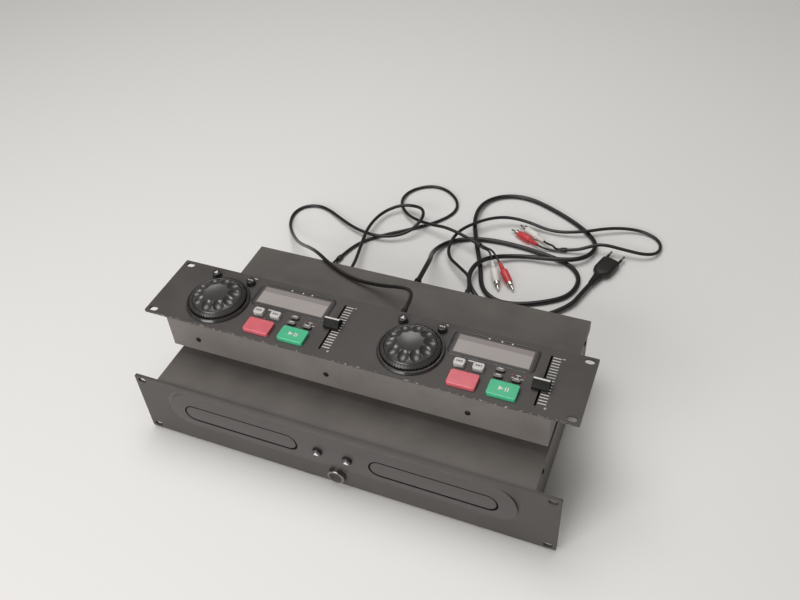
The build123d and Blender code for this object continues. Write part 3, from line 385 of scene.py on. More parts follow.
AUDIO_LEFT_ROUTE = [
    (-157, 104, 3.8), (-151, 136, 2.4), (-121, 167, 2.4), (-86, 193, 2.4), (-54, 221, 2.4),
    (-36, 251, 2.4), (-42, 279, 2.4), (-68, 302, 2.4), (-96, 304, 2.4), (-122, 282, 2.5),
    (-125, 248, 5), (-101, 216, 7.5), (-62, 198, 14), (-20, 189, 23.4), (20, 174, 19),
]
AUDIO_RIGHT_ROUTE = [
    (40, 79, 17), (37, 102, 18), (16, 119, 16.5), (-15, 147, 9.5), (-16, 188, 17),
    (7, 223, 17), (36, 247, 15.5), (70, 253.5, 11), (112, 246, 5.5), (152, 253, 10),
    (188, 275, 10), (222, 288, 6), (248, 285, 2.9), (262, 270, 2.6), (262, 247, 5.5),
    (248, 232, 9.5), (221, 229, 13), (186, 227, 18), (168, 220, 12.6), (155, 216, 7.4),
    (141, 214, 5.3),
]
CONTROL_ROUTE = [
    (22, -86.3, 128.9), (22, -66, 128.9), (14, -52, 126.5), (-4.5, -41.5, 115.5), (-33, -33, 102),
    (-72, -25, 93.5), (-110, -10, 94.5), (-138, 10, 91.5), (-165, 34, 74), (-192, 62, 49),
    (-219, 91, 27), (-244, 121, 11), (-263, 148, 3.6), (-270, 174, 2.7), (-262, 194, 2.7),
    (-242, 203, 2.7), (-220, 197, 3.5), (-193, 180, 6), (-160, 162, 8), (-120, 155, 8),
    (-84, 169, 11.5), (-69, 197, 20.5), (-75, 221, 20.5), (-95, 234, 14), (-118, 231, 12),
    (-138, 208, 10), (-142, 165, 14), (-134, 120, 14), (-125, 82, 19), (-121, 52, 25.8),
    (-121, 25.6, 25.8),
]

for name, route in (
    ("mains", MAINS_ROUTE), ("left audio", AUDIO_LEFT_ROUTE), ("right audio", AUDIO_RIGHT_ROUTE),
    ("control", CONTROL_ROUTE),
):
    print(name, "route:", len(route), "points")

# %% [markdown]
# ## Finishes
# Each finish is named for what the real thing is made of. A pattern's scale comes from a real size
# in millimetres: a noise node's scale is one over that size. Noise drawn finer than a pixel would
# vanish, so grain is a little coarser here than on the real part.

# %% Powder-coated and painted steel
SMUDGE_SIZE = 45.0
FLAKE_SIZE = 3.5
CHIP_REACH = (0.1, 0.7)
CHIP_LIMITS = (1.57, 1.63)
BARE_STEEL = "#aea9a1"
PAINT_STOPS = (0.3, 0.75)
PAINT_GAINS = (0.86, 1.16)
PAINT_ROUGHNESS = (0.42, 0.56)
PEBBLE_STRENGTH = 0.25
PEBBLE_DEPTH = 0.06


def coated_steel(name, paint, grain, chipped_edge=None):
    """Textured paint with faint smudges and, where asked, chips along its front edge."""
    material, tree, shader = finish_named(name, IOR=1.5, Specular_IOR_Level=0.35)
    place = place_in(tree)
    smudge = noise(tree, place, SMUDGE_SIZE, 5.0, 0.6)
    shade = cloudy(tree, smudge, paint, PAINT_STOPS, PAINT_GAINS)
    if chipped_edge is not None:
        start, end = ((chipped_edge + reach) * MM for reach in CHIP_REACH)
        near = remap(tree, coordinates(tree)["Y"], start, end, 1.0, 0.0)
        chip = reckon(tree, "ADD", near, noise(tree, place, FLAKE_SIZE, 4.0, 0.7))
        shade = blend(tree, remap(tree, chip, *CHIP_LIMITS), shade, colour(BARE_STEEL))
    tree.links.new(shade, shader.inputs["Base Color"])
    uneven_gloss(tree, shader, smudge, *PAINT_ROUGHNESS)
    roughen(tree, shader, noise(tree, place, grain, 2.0), PEBBLE_STRENGTH, PEBBLE_DEPTH)
    return material


charcoal_coat = coated_steel("powder_coated_steel_charcoal", "#494543", 0.7, panel_front)
drive_coat = coated_steel("powder_coated_steel_panel", "#494543", 0.7)
grey_coat = coated_steel("painted_steel_grey_brown", "#605b57", 0.9)
# The controller's box has the cover's grey-brown paint, painted paler as light, because its front
# wall faces the front lamp.
front_lit_box_coat = coated_steel("painted_steel_lit_box", "#6c6763", 0.9)
print("materials with the painted steels:", len(bpy.data.materials))

# %% [markdown]
# Moulded ABS has a faint spark-eroded grain from the mould. A clear coat stands for a polished
# mould, and a little light passes through the red and the green cap. The matt fader caps mirror
# almost nothing, so their specular level is low.

# %% Moulded plastics
CLOUD_SIZE = 11.0
CLOUD_STOPS = (0.35, 0.7)
CLOUD_GAINS = (0.95, 1.05)
GLOSS_DRIFT = 0.15
GRAIN_STRENGTH = 0.3
GLOW_RADIUS = (0.004, 0.003, 0.002)
GLOW_SCALE = 0.5


def moulded(
    name, tint, rough, grain=0.4, depth=0.03, coat=0.0, coat_rough=0.12, glow=0.0, specular=0.5
):
    """Moulded plastic: one colour with slight cloudiness and a fine grain."""
    material, tree, shader = finish_named(
        name, IOR=1.53, Coat_Weight=coat, Coat_Roughness=coat_rough, Specular_IOR_Level=specular
    )
    if glow:
        shader.inputs["Subsurface Weight"].default_value = glow
        shader.inputs["Subsurface Radius"].default_value = GLOW_RADIUS
        shader.inputs["Subsurface Scale"].default_value = GLOW_SCALE
    place = place_in(tree)
    cloud = noise(tree, place, CLOUD_SIZE, 4.0)
    shade = cloudy(tree, cloud, tint, CLOUD_STOPS, CLOUD_GAINS)
    tree.links.new(shade, shader.inputs["Base Color"])
    uneven_gloss(tree, shader, cloud, rough * (1 - GLOSS_DRIFT), rough * (1 + GLOSS_DRIFT))
    roughen(tree, shader, noise(tree, place, grain, 2.0), GRAIN_STRENGTH, depth)
    return material


dial_abs = moulded("abs_polished_dial", "#2f2c2a", 0.38, depth=0.005, coat=0.9, coat_rough=0.26)
fader_abs = moulded("abs_matt_fader_cap", "#161514", 0.6, specular=0.2)
button_abs = moulded("abs_gloss_button", "#2a2827", 0.28, coat=0.3)
collar_abs = moulded("abs_collar_gloss", "#2b2928", 0.24, coat=0.4)
tray_abs = moulded("abs_tray_black", "#262423", 0.42)
loader_abs = moulded("abs_loader_frame", "#2a2827", 0.55)
acetal = moulded("acetal_gear_ivory", "#e4dfd0", 0.4)
silver_key = moulded("abs_light_grey_key", "#c3c0bd", 0.36, coat=0.1)
dark_key = moulded("silicone_rubber_key", "#46423f", 0.6)
cap_look = {"grain": 1.5, "depth": 0.01, "coat": 0.35, "glow": 0.15}
cue_cap = moulded("acrylic_red_cap", "#d2606a", 0.34, **cap_look)
play_cap = moulded("acrylic_green_cap", "#43b585", 0.34, **cap_look)
foot_rubber = moulded("rubber_foot_black", "#1f1d1c", 0.8, grain=0.8, depth=0.08)
grey_rubber = moulded("rubber_foot_grey", "#8f8b87", 0.75, grain=0.8, depth=0.08)
cord_pvc = moulded("pvc_cable_black", "#151312", 0.34, grain=1.2, depth=0.04)
plug_pvc = moulded("pvc_plug_black", "#181615", 0.45, grain=0.6, depth=0.06)
white_pvc = moulded("pvc_plug_white", "#e8e5df", 0.35)
red_pvc = moulded("pvc_plug_red", "#d24146", 0.35)
socket_abs = moulded("abs_socket_black", "#1f1d1c", 0.5)
white_ink = moulded("screen_ink_white", "#d2cfca", 0.6)
red_ink = moulded("screen_ink_red", "#c2453f", 0.6)
red_lamp = moulded("lamp_lens_red", "#8e3434", 0.2, coat=0.6)
green_lamp = moulded("lamp_lens_green", "#3f6f4c", 0.2, coat=0.6)
print("materials with the plastics:", len(bpy.data.materials))

# %% [markdown]
# The small oval keys are dark silicone rubber. Their top is painted paler, as a painted highlight
# where the light falls on it.

# %% Oval keys
OVAL_HIGHLIGHT_DEPTHS = (0.9, 0.2)


def key_with_top_highlight(name, top):
    """Dark rubber with a painted highlight that grows paler between two depths below the key's top.
    """
    material = moulded(name, "#3a3734", 0.5)
    tree = material.node_tree
    base = tree.nodes["Principled BSDF"].inputs["Base Color"]
    start, end = ((top - depth) * MM for depth in OVAL_HIGHLIGHT_DEPTHS)
    top_highlight = remap(tree, coordinates(tree)["Z"], start, end)
    tree.links.new(blend(tree, top_highlight, base.links[0].from_socket, colour("#6f6b67")), base)
    return material


oval_top = span("upper_oval_button_left")[1].z
oval_rubber = key_with_top_highlight("silicone_rubber_oval_key", oval_top)
print("oval keys' top, mm:", round(oval_top, 2))

# %% [markdown]
# The fascia and the tray doors are one moulded ABS, a little paler than the keys. A thin black lip
# of painted shade lines the gap round each door and stands for the shadow in the gap. It has a low
# specular level and a high roughness.

# %% Fascia and gap lips
fascia_abs = moulded("abs_moulded_fascia", "#454140", 0.4)
gap_shade_lip = moulded("painted_gap_shade_black", "#050505", 0.9, specular=0.1)
print("fascia and lips:", fascia_abs.name, gap_shade_lip.name)

# %% [markdown]
# Rolled and plated metal has fine lines that stretch the highlights across them. Noise that is
# drawn out along X makes such lines, and here they only change the roughness.

# %% Bare metals
LINE_STRETCH = (0.06, 1, 1)
LINE_DRIFT = 0.25


def bare_metal(name, tint, rough, line):
    """Rolled or plated metal with fine lines along X."""
    material, tree, shader = finish_named(name, Metallic=1.0, Base_Color=colour(tint))
    stretched = add(tree, "ShaderNodeMapping", {"Vector": place_in(tree), "Scale": LINE_STRETCH})
    lines = noise(tree, stretched.outputs["Vector"], line, 3.0)
    uneven_gloss(tree, shader, lines, rough * (1 - LINE_DRIFT), rough * (1 + LINE_DRIFT))
    return material


zinc_steel = bare_metal("zinc_plated_steel", "#b4b2ad", 0.38, 0.6)
nickel = bare_metal("nickel_plated_brass", "#cfccc4", 0.2, 0.8)
black_screw = bare_metal("black_zinc_screw", "#33312f", 0.4, 0.8)
print("metals:", zinc_steel.name, nickel.name, black_screw.name)

# %% [markdown]
# The circuit boards are glass fibre and epoxy under green lacquer. They only show through the
# openings, so the joints of a brick pattern stand for the copper tracks, and all that rises above
# the board is dark, as most of its components are.

# %% Circuit boards
DRIVE_BOARD_TOP = 16.8
CONTROL_BOARD_TOP = 138.1
TRACK_BLOCK = 9.0
TRACK_WIDTH = 0.04
BARE_BOARD = 0.2


def lacquered_board(name, board_top):
    """Green lacquer with paler tracks, and dark parts from just above the board's top."""
    material, tree, shader = finish_named(name, Roughness=0.35, IOR=1.52)
    tracks = add(
        tree, "ShaderNodeTexBrick",
        {"Vector": place_in(tree), "Color1": colour("#2f5a3a"), "Color2": colour("#2a5034"),
         "Mortar": colour("#5d7d4c"), "Scale": 1 / (TRACK_BLOCK * MM),
         "Mortar Size": TRACK_WIDTH},
    )
    raised = reckon(
        tree, "GREATER_THAN", coordinates(tree)["Z"], (board_top + BARE_BOARD) * MM
    )
    shade = blend(tree, raised, tracks.outputs["Color"], colour("#2b2a29"))
    tree.links.new(shade, shader.inputs["Base Color"])
    return material


drive_board_finish = lacquered_board("fr4_board_drive", DRIVE_BOARD_TOP)
control_board_finish = lacquered_board("fr4_board_controller", CONTROL_BOARD_TOP)
print("board tops, mm:", DRIVE_BOARD_TOP, CONTROL_BOARD_TOP)

# %% [markdown]
# The display is a clear acrylic lens over a liquid crystal module. Switched off, the module is a
# flat warm grey with a darker printed strip along its top and a dark line round it, and the rest of
# the lens is a little darker than the panel. All of that lies in one plane under the lens, so it is
# painted by masks of the place, and the lens is a glossy coat. The left window's X is folded onto
# the right one's, so both windows share one set of masks.

# %% Display windows
LENS_MIDDLE = (24.6, 64.1)
LENS_SIZE = (89.6, 33.0)
LENS_CORNER = 6.0
MODULE_SIZE = (79.5, 24.7)
BEZEL_WIDTH = 2.2
STRIP_WIDTH = 7.0
SURROUND_TINT = "#403c3a"
BEZEL_TINT = "#55504e"
MODULE_TINT = "#a39c99"
STRIP_TINT = "#8c8583"


def display_finish(name):
    """The lens, with the module and its line painted under it."""
    material, tree, shader = finish_named(
        name, Roughness=0.18, IOR=1.49, Coat_Weight=0.5, Coat_Roughness=0.06
    )
    place = coordinates(tree)
    shifted = reckon(tree, "SUBTRACT", place["X"], LENS_MIDDLE[0] * MM)
    folded = reckon(tree, "ABSOLUTE", shifted)
    centred = reckon(tree, "SUBTRACT", folded, deck_middle["right"] * MM)
    across = reckon(tree, "ABSOLUTE", centred)
    risen = reckon(tree, "SUBTRACT", place["Y"], (panel_front + LENS_MIDDLE[1]) * MM)
    height = reckon(tree, "ABSOLUTE", risen)
    shade = colour(SURROUND_TINT)
    for grow, tint in ((BEZEL_WIDTH, BEZEL_TINT), (0.0, MODULE_TINT)):
        masks = [
            reckon(tree, "LESS_THAN", distance, (size / 2 + grow) * MM)
            for distance, size in zip((across, height), MODULE_SIZE)
        ]
        both = reckon(tree, "MULTIPLY", *masks)
        shade = blend(tree, both, shade, colour(tint))
    strip = reckon(tree, "GREATER_THAN", risen, (MODULE_SIZE[1] / 2 - STRIP_WIDTH) * MM)
    in_module = reckon(tree, "MULTIPLY", strip, both)
    tree.links.new(
        blend(tree, in_module, shade, colour(STRIP_TINT)), shader.inputs["Base Color"]
    )
    return material


display_glass = display_finish("acrylic_lens_over_display")
print("display module, mm:", MODULE_SIZE, "in a lens of", LENS_SIZE)

# %% [markdown]
# The power button is a black cap with a chromed rim and a dished middle, and each open button has a
# white triangle printed on its face. Both marks turn or move with their button, so they are masks
# in its own finish.

# %% Power and open buttons
POWER_RIM = (7.5, 7.7)
POWER_ROUGHNESS = (0.35, 0.16)
TRIANGLE_SIZE = 5.0
TRIANGLE_SLOPE = 1.6

power_middle_z = sum(corner.z for corner in span("power_button")) / 2


def power_finish(name):
    """A black face inside a chromed rim, told apart by the distance from the button's axis."""
    material, tree, shader = finish_named(name)
    moved = add(
        tree, "ShaderNodeMapping",
        {"Vector": place_in(tree), "Location": (0, 0, -power_middle_z * MM), "Scale": (1, 0, 1)},
    )
    radius = add(tree, "ShaderNodeVectorMath", {0: moved.outputs["Vector"]}, operation="LENGTH")
    rim = remap(tree, radius.outputs["Value"], POWER_RIM[0] * MM, POWER_RIM[1] * MM)
    shade = blend(tree, rim, colour("#2b2928"), colour("#918d88"))
    tree.links.new(shade, shader.inputs["Base Color"])
    tree.links.new(rim, shader.inputs["Metallic"])
    tree.links.new(remap(tree, rim, 0, 1, *POWER_ROUGHNESS), shader.inputs["Roughness"])
    return material


def triangle_finish(name, middle_x, middle_z, size):
    """Gloss black with a white triangle, point up, seen from the front."""
    material, tree, shader = finish_named(name, Roughness=0.3, IOR=1.53, Coat_Weight=0.3)
    place = coordinates(tree)
    width = reckon(tree, "ABSOLUTE", reckon(tree, "SUBTRACT", place["X"], middle_x * MM))
    rise = reckon(tree, "SUBTRACT", place["Z"], (middle_z - size / 2) * MM)
    slope = reckon(tree, "MULTIPLY_ADD", width, TRIANGLE_SLOPE, rise)
    below_tip = reckon(tree, "LESS_THAN", slope, size * MM)
    above_base = reckon(tree, "GREATER_THAN", rise, 0.0)
    inside = reckon(tree, "MULTIPLY", below_tip, above_base)
    shade = blend(tree, inside, colour("#2a2827"), colour("#dcdad6"))
    tree.links.new(shade, shader.inputs["Base Color"])
    return material


print("power button's middle height, mm:", round(power_middle_z, 2))

# %% [markdown]
# ## Dressing the CAD nodes
# A solid whose shape is right only needs its finish. Each node takes one material here.

# %% Finishes of the nodes
def dress(material, *names):
    """Gives CAD nodes their one material."""
    for name in names:
        nodes[name].data.materials.clear()
        nodes[name].data.materials.append(material)


dress(charcoal_coat, "controller_panel")
dress(drive_coat, "drive_front_panel")
dress(grey_coat, "drive_top_cover", "drive_base_pan", "drive_rear_panel")
dress(front_lit_box_coat, "controller_box")
dress(fascia_abs, "drive_fascia", "tray_door_left", "tray_door_right")
dress(foot_rubber, "drive_feet")
dress(grey_rubber, "controller_feet")
dress(drive_board_finish, "main_board", "power_supply")
dress(control_board_finish, "controller_board")
dress(socket_abs, "rear_sockets")
dress(cord_pvc, "mains_relief")
dress(zinc_steel, "laser_units", "loader_motors")
dress(display_glass, "display_windows")
dress(collar_abs, "jog_collars")
dress(power_finish("power_button_chrome_rim"), "power_button")
for side in SIDES:
    dress(loader_abs, f"loader_frame_{side}")
    dress(tray_abs, f"tray_{side}")
    dress(acetal, f"loader_gear_{side}")
    dress(fader_abs, f"fader_cap_{side}")
    dress(button_abs, f"eject_button_{side}", f"select_button_{side}")
    dress(silver_key, f"search_back_button_{side}", f"search_forward_button_{side}")
    dress(oval_rubber, *[f"{which}_oval_button_{side}" for which in ("upper", "lower", "outer")])
    dress(cue_cap, f"cue_button_{side}")
    dress(play_cap, f"play_button_{side}")
    low, high = span(f"open_button_{side}")
    middle_x = (low.x + high.x) / 2
    triangle = triangle_finish(f"abs_open_button_{side}", middle_x, band_z, TRIANGLE_SIZE)
    dress(triangle, f"open_button_{side}")
print("CAD nodes in the frame:", len(nodes))

# %% [markdown]
# ## Printed marks
# Screen printing is a thin, flat layer of ink, so each mark is a plate 0.12 mm thick on its panel
# or key. The fader's scale repeats seventeen times at one pitch, so Geometry Nodes make it: a line
# of points, one bar on each point, and then real geometry with its material.

# %% Geometry Nodes helpers
def new_tree(name, inputs):
    """A tree with named inputs, and the sockets that those values come in by."""
    tree = bpy.data.node_groups.new(name, "GeometryNodeTree")
    for title, kind in inputs.items():
        tree.interface.new_socket(title, in_out="INPUT", socket_type=f"NodeSocket{kind}")
    tree.interface.new_socket("Geometry", in_out="OUTPUT", socket_type="NodeSocketGeometry")
    return tree, add(tree, "NodeGroupInput").outputs


def end_tree(tree, geometry, material):
    """The last two nodes: the geometry gets its material and goes out."""
    finished = add(tree, "GeometryNodeSetMaterial", {"Geometry": geometry, "Material": material})
    add(tree, "NodeGroupOutput", {"Geometry": finished.outputs["Geometry"]})
    print("tree", tree.name, "has", len(tree.nodes), "nodes")
    return tree


def grown(name, tree, inputs, source=None):
    """The plain mesh that a tree makes, as a new object at the origin."""
    host = in_scene(bpy.data.objects.new(name, source or bpy.data.meshes.new(name)))
    modifier = host.modifiers.new("grow", "NODES")
    modifier.node_group = tree
    for socket in tree.interface.items_tree:
        if socket.in_out == "INPUT" and socket.name in inputs:
            modifier[socket.identifier] = inputs[socket.name]
    bpy.context.view_layer.update()
    dg = bpy.context.evaluated_depsgraph_get()
    mesh = bpy.data.meshes.new_from_object(host.evaluated_get(dg))
    host.modifiers.remove(modifier)
    host.data = mesh
    return host


# %% Fader scales
INK = 0.12
SCALE_BARS = 17
SCALE_PITCH = 3.85
SCALE_START = (87.6, 13.8)
SCALE_BAR = (8.4, 0.95)


def scale_tree():
    """Bars of one size in a straight line, at one pitch."""
    tree, given = new_tree(
        "fader_scale",
        {"Start": "Vector", "Pitch": "Vector", "Bars": "Int", "Bar Size": "Vector",
         "Ink": "Material"},
    )
    line = add(
        tree, "GeometryNodeMeshLine",
        {"Count": given["Bars"], "Start Location": given["Start"], "Offset": given["Pitch"]},
    )
    one = add(tree, "GeometryNodeMeshCube", {"Size": given["Bar Size"]})
    bars = add(
        tree, "GeometryNodeInstanceOnPoints",
        {"Points": line.outputs["Mesh"], "Instance": one.outputs["Mesh"]},
    )
    real = add(tree, "GeometryNodeRealizeInstances", {"Geometry": bars.outputs["Instances"]})
    return end_tree(tree, real.outputs["Geometry"], given["Ink"])


fader_scale = scale_tree()
for side in SIDES:
    start = on_deck(side, *SCALE_START) * MM
    start.z += INK / 2 * MM
    scale = grown(
        f"fader_scale_{side}", fader_scale,
        {"Start": start, "Pitch": (0, SCALE_PITCH * MM, 0), "Bars": SCALE_BARS,
         "Bar Size": (SCALE_BAR[0] * MM, SCALE_BAR[1] * MM, INK * MM), "Ink": white_ink},
    )
    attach(scale, "casing")
    print(scale.name, len(scale.data.polygons), "faces")

# %% [markdown]
# Labels beside the keys are drawn as plain bars, without words. The signs are the common ones:
# eject, skip, play and pause. A sign on a key rides with that key.

# %% Marks on the panel
SELECT_PLACE = (-34.6, 75.6)
SEARCH_BACK_PLACE = (-2.7, 36.8)
OUTER_OVAL_PLACE = (57.0, 32.8)
FADER_PLACE = (81.6, 43.8)
LABEL_BARS = (
    (SELECT_PLACE, (-0.5, 8.8), (8.5, 1.3)),
    (SEARCH_BACK_PLACE, (10, 7.5), (6.5, 1.5)),
    (OUTER_OVAL_PLACE, (0, 5.0), (0.7, 5.2)),
    (OUTER_OVAL_PLACE, (0, 8.0), (5.0, 0.7)),
    (OUTER_OVAL_PLACE, (-4.6, 4.2), (3.0, 0.9)),
    (OUTER_OVAL_PLACE, (4.6, 4.2), (3.0, 0.9)),
    (FADER_PLACE, (12.5, 32.3), (2.6, 0.7)),
    (FADER_PLACE, (10.2, -34.6), (2.6, 0.7)),
    (FADER_PLACE, (10.2, -34.6), (0.7, 2.6)),
)
DOT_SHIFTS = ((-6.2, 8.0), (6.2, 8.0))
DOT_SIZE = (1.3, 1.1)
TICK_PLACES = ((15.5, 79.4), (29.0, 79.4), (40.0, 79.4))
TICK_SIZE = (1.6, 1.6)
SIGN_SINK = 0.05

window_top = span("display_windows")[1].z


def spot(side, place, dx=0.0, dy=0.0):
    """X and Y of a place on one deck, moved a little."""
    return on_deck(side, place[0] + dx, place[1] + dy).xy


def marks(name, outlines, low, high, material, body):
    """Flat marks between two levels, as one piece."""
    shape = bmesh.new()
    add_plates(shape, outlines, low, high)
    return piece(name, shape, [material], body)


def panel_marks(side):
    """The printed bars, dots and ticks that stay on the casing."""
    labels = [bar(*spot(side, place, *shift), *size) for place, shift, size in LABEL_BARS]
    dots = [bar(*spot(side, OUTER_OVAL_PLACE, *shift), *DOT_SIZE) for shift in DOT_SHIFTS]
    ticks = [bar(*spot(side, place), *TICK_SIZE) for place in TICK_PLACES]
    for name, outlines, low, high, ink in (
        ("panel_labels", labels, panel_top, panel_top + INK, white_ink),
        ("panel_dots", dots, panel_top, panel_top + INK, red_ink),
        ("display_ticks", ticks, window_top - SIGN_SINK, window_top + INK, white_ink),
    ):
        marks(f"{name}_{side}", outlines, low, high, ink, "casing")


print("bars, dots and ticks on each deck:", len(LABEL_BARS), len(DOT_SHIFTS), len(TICK_PLACES))

# %% [markdown]
# A sign on a key is printed on the key's top and rides on the same body, so it sinks with the key
# when it is pressed. Its level is read from the key's node.

# %% Marks on the keys
EJECT_PLACE = (-78.5, 75.3)
SEARCH_FORWARD_PLACE = (17.3, 36.8)
PLAY_PLACE = (48.4, 16.3)
UPPER_OVAL_PLACE = (38.4, 41.3)
LOWER_OVAL_PLACE = (38.4, 32.8)
EJECT_SIZE = 4.6
SELECT_SIZE = 2.0
SKIP_SIZE = 2.5
PLAY_SIZE = 5.2
SELECT_SPREAD = 2.3
SELECT_BAR = (0.8, 2.2)
PLAY_SHIFT = -2.2
PAUSE_SHIFTS = (2.6, 5.0)
PAUSE_WIDTH = 1.2
OVAL_LABEL = (4.4, 1.1)
OVAL_LABEL_SHIFT = 0.8
OVAL_LABEL_SINK = 0.15
OVAL_LABEL_PROUD = 0.06
FADER_LINE_WIDTH = 2.0
FADER_LINE_MARGIN = 0.4


def skip_sign(x, y, size, turn):
    """Two triangles and a bar, as on a skip key."""
    way = math.cos(math.radians(turn))
    first = arrow(x - way * size * 0.75, y, size, turn)
    second = arrow(x + way * size * 0.3, y, size, turn)
    return [first, second, bar(x + way * size * 1.1, y, size * 0.28, size)]


def key_marks(key, side, outlines, word="sign", ink=white_ink, sink=SIGN_SINK, proud=INK):
    """Marks on the top of a key, which ride on that key's body."""
    top = span(f"{key}_button_{side}")[1].z
    body = f"{key}_key_{side}"
    return marks(f"{key}_{word}_{side}", outlines, top - sink, top + proud, ink, body)


for side in SIDES:
    panel_marks(side)
    key_marks("eject", side, [arrow(*spot(side, EJECT_PLACE), EJECT_SIZE, 90)])
    signs = [
        arrow(*spot(side, SELECT_PLACE, -SELECT_SPREAD), SELECT_SIZE, 180),
        arrow(*spot(side, SELECT_PLACE, SELECT_SPREAD), SELECT_SIZE, 0),
        bar(*spot(side, SELECT_PLACE), *SELECT_BAR),
    ]
    key_marks("select", side, signs)
    for key, place, turn in (
        ("search_back", SEARCH_BACK_PLACE, 180), ("search_forward", SEARCH_FORWARD_PLACE, 0)
    ):
        signs = skip_sign(*spot(side, place), SKIP_SIZE, turn)
        key_marks(key, side, signs, ink=dark_key)
    for key, place in (
        ("upper_oval", UPPER_OVAL_PLACE), ("lower_oval", LOWER_OVAL_PLACE),
        ("outer_oval", OUTER_OVAL_PLACE),
    ):
        label = bar(*spot(side, place, 0, OVAL_LABEL_SHIFT), *OVAL_LABEL)
        key_marks(
            key, side, [label], word="label", sink=OVAL_LABEL_SINK,
            proud=OVAL_LABEL_PROUD,
        )
    signs = [arrow(*spot(side, PLAY_PLACE, PLAY_SHIFT), PLAY_SIZE, 0)]
    signs += [bar(*spot(side, PLAY_PLACE, dx), PAUSE_WIDTH, PLAY_SIZE) for dx in PAUSE_SHIFTS]
    sign = key_marks("play", side, signs)
    print(sign.name, "stands at, mm:", round(span(f"play_button_{side}")[1].z, 2))
    low, high = span(f"fader_cap_{side}")
    middle = (low + high) / 2
    line = bar(middle.x, middle.y, high.x - low.x - FADER_LINE_MARGIN, FADER_LINE_WIDTH)
    marks(
        f"fader_line_{side}", [line], high.z - SIGN_SINK, high.z + INK, white_ink,
        f"fader_{side}",
    )

# %% [markdown]
# ## Dials
# The dial is a dome with a dished middle and ten deep finger dimples round its shoulder. The dome
# is turned and the dimples are cut with tilted egg shapes, so every dimple has a crisp rim that
# catches the light.

# %% Sizes of the dial
DIAL_RADIUS = 27.4
DIAL_FOOT = (2.0, 27.0)
DIAL_RIM = 7.2
DIAL_RIM_RADIUS = 27.2
DIAL_EYE_RADIUS = 0.4
DIAL_CREST_RADIUS = 14.2
DIAL_CREST = 12.75
DIAL_DISH_DEPTH = 1.5
DIAL_SHOULDER = 1.6
DIMPLES = 10
DIMPLE_DISTANCE = 19.8
DIMPLE_EGG = (8.2, 6.5, 5.4)
DIMPLE_LIFT = 1.7
DIMPLE_TILT = 23.0
DIAL_STEPS = 26
ROUND_STEPS = 120
DIMPLE_EDGE_ANGLE = 28


def dial_height(radius):
    """The dome's height over the panel at a distance from its middle."""
    rise = DIAL_CREST - DIAL_RIM
    if radius > DIAL_CREST_RADIUS:
        share = (DIAL_RADIUS - radius) / (DIAL_RADIUS - DIAL_CREST_RADIUS)
        return DIAL_RIM + rise * (1 - (1 - share) ** DIAL_SHOULDER)
    return DIAL_CREST - DIAL_DISH_DEPTH * (1 - (radius / DIAL_CREST_RADIUS) ** 2)


def over_panel(node):
    """Where the upright axis of a round node meets the panel."""
    low, high = span(node)
    return Vector(((low.x + high.x) / 2, (low.y + high.y) / 2, panel_top))


print("dial's height at a dimple, mm:", round(dial_height(DIMPLE_DISTANCE), 2))

# %% [markdown]
# An exact Boolean cuts all ten dimples at once. The cut mesh is taken from the evaluated object,
# and the modifier and the cutter are then removed, so the piece is a plain mesh.

# %% Dial
def dial_dimples(middle):
    """Ten egg shapes, tilted with the dome's shoulder, as one cutter."""
    shape = bmesh.new()
    for dimple in range(DIMPLES):
        turn = Matrix.Rotation(2 * math.pi * (dimple + 0.5) / DIMPLES, 4, "Z")
        tilt = Matrix.Rotation(math.radians(DIMPLE_TILT), 4, "Y")
        foot = Matrix.Translation(Vector((DIMPLE_DISTANCE, 0, dial_height(DIMPLE_DISTANCE))))
        lift = Matrix.Translation(Vector((0, 0, DIMPLE_LIFT)))
        egg = Matrix.Diagonal((*DIMPLE_EGG, 1))
        place = Matrix.Scale(MM, 4) @ Matrix.Translation(middle) @ turn @ foot @ tilt @ lift @ egg
        bmesh.ops.create_icosphere(shape, subdivisions=4, radius=1, matrix=place)
    return in_scene(helper_object("dimple_cutter", shape))


def dial(side):
    """The turned dome with its dimples cut, on the body of the dial."""
    middle = over_panel(f"jog_dial_{side}")
    foot_height, foot_radius = DIAL_FOOT
    profile = [(foot_height, foot_radius, 0), (DIAL_RIM - 0.6, DIAL_RADIUS, 0)]
    profile.append((DIAL_RIM - 0.1, DIAL_RIM_RADIUS, 0))
    for step in range(1, DIAL_STEPS + 1):
        radius = DIAL_RADIUS - (DIAL_RADIUS - DIAL_EYE_RADIUS) * step / DIAL_STEPS
        profile.append((dial_height(radius), radius, 0))
    shape = bmesh.new()
    add_turned(shape, profile, middle, middle + Vector((0, 0, 1)), ROUND_STEPS)
    made = in_scene(helper_object(f"dimpled_dial_{side}", shape))
    cutter = dial_dimples(middle)
    cut = made.modifiers.new("dimples", "BOOLEAN")
    cut.operation = "DIFFERENCE"
    cut.solver = "EXACT"
    cut.object = cutter
    bpy.context.view_layer.update()
    dg = bpy.context.evaluated_depsgraph_get()
    mesh = bpy.data.meshes.new_from_object(made.evaluated_get(dg))
    made.modifiers.remove(cut)
    bpy.data.objects.remove(cutter)
    mesh.materials.clear()
    mesh.materials.append(dial_abs)
    mesh.shade_smooth()
    mesh.set_sharp_from_angle(angle=math.radians(DIMPLE_EDGE_ANGLE))
    made.data = mesh
    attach(made, f"jog_{side}")
    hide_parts(f"jog_dial_{side}")
    print(made.name, len(mesh.polygons), "faces")


# %% [markdown]
# The shuttle ring round the dial is turned as well. Its sixty fine ribs are copies of one rib that
# Geometry Nodes put on a circle, each turned by its own share of the circle.

# %% Ribs of the shuttle ring
RING_RADIUS = 30.7
RING_WALL = 5.0
RING_TOP = 7.3
RIB_ROOT = 30.2
RIBS = 60
RIB_PROUD = 0.75
RIB_WIDTH = 1.3
RIB_FOOT = 0.7
RIB_OUTLINE = (
    (RIB_ROOT, RIB_FOOT), (RING_RADIUS + RIB_PROUD, RIB_FOOT),
    (RING_RADIUS + RIB_PROUD, RING_WALL), (29.0, RING_TOP), (28.4, RING_TOP - 0.4),
    (RIB_ROOT, RING_WALL - 0.8),
)


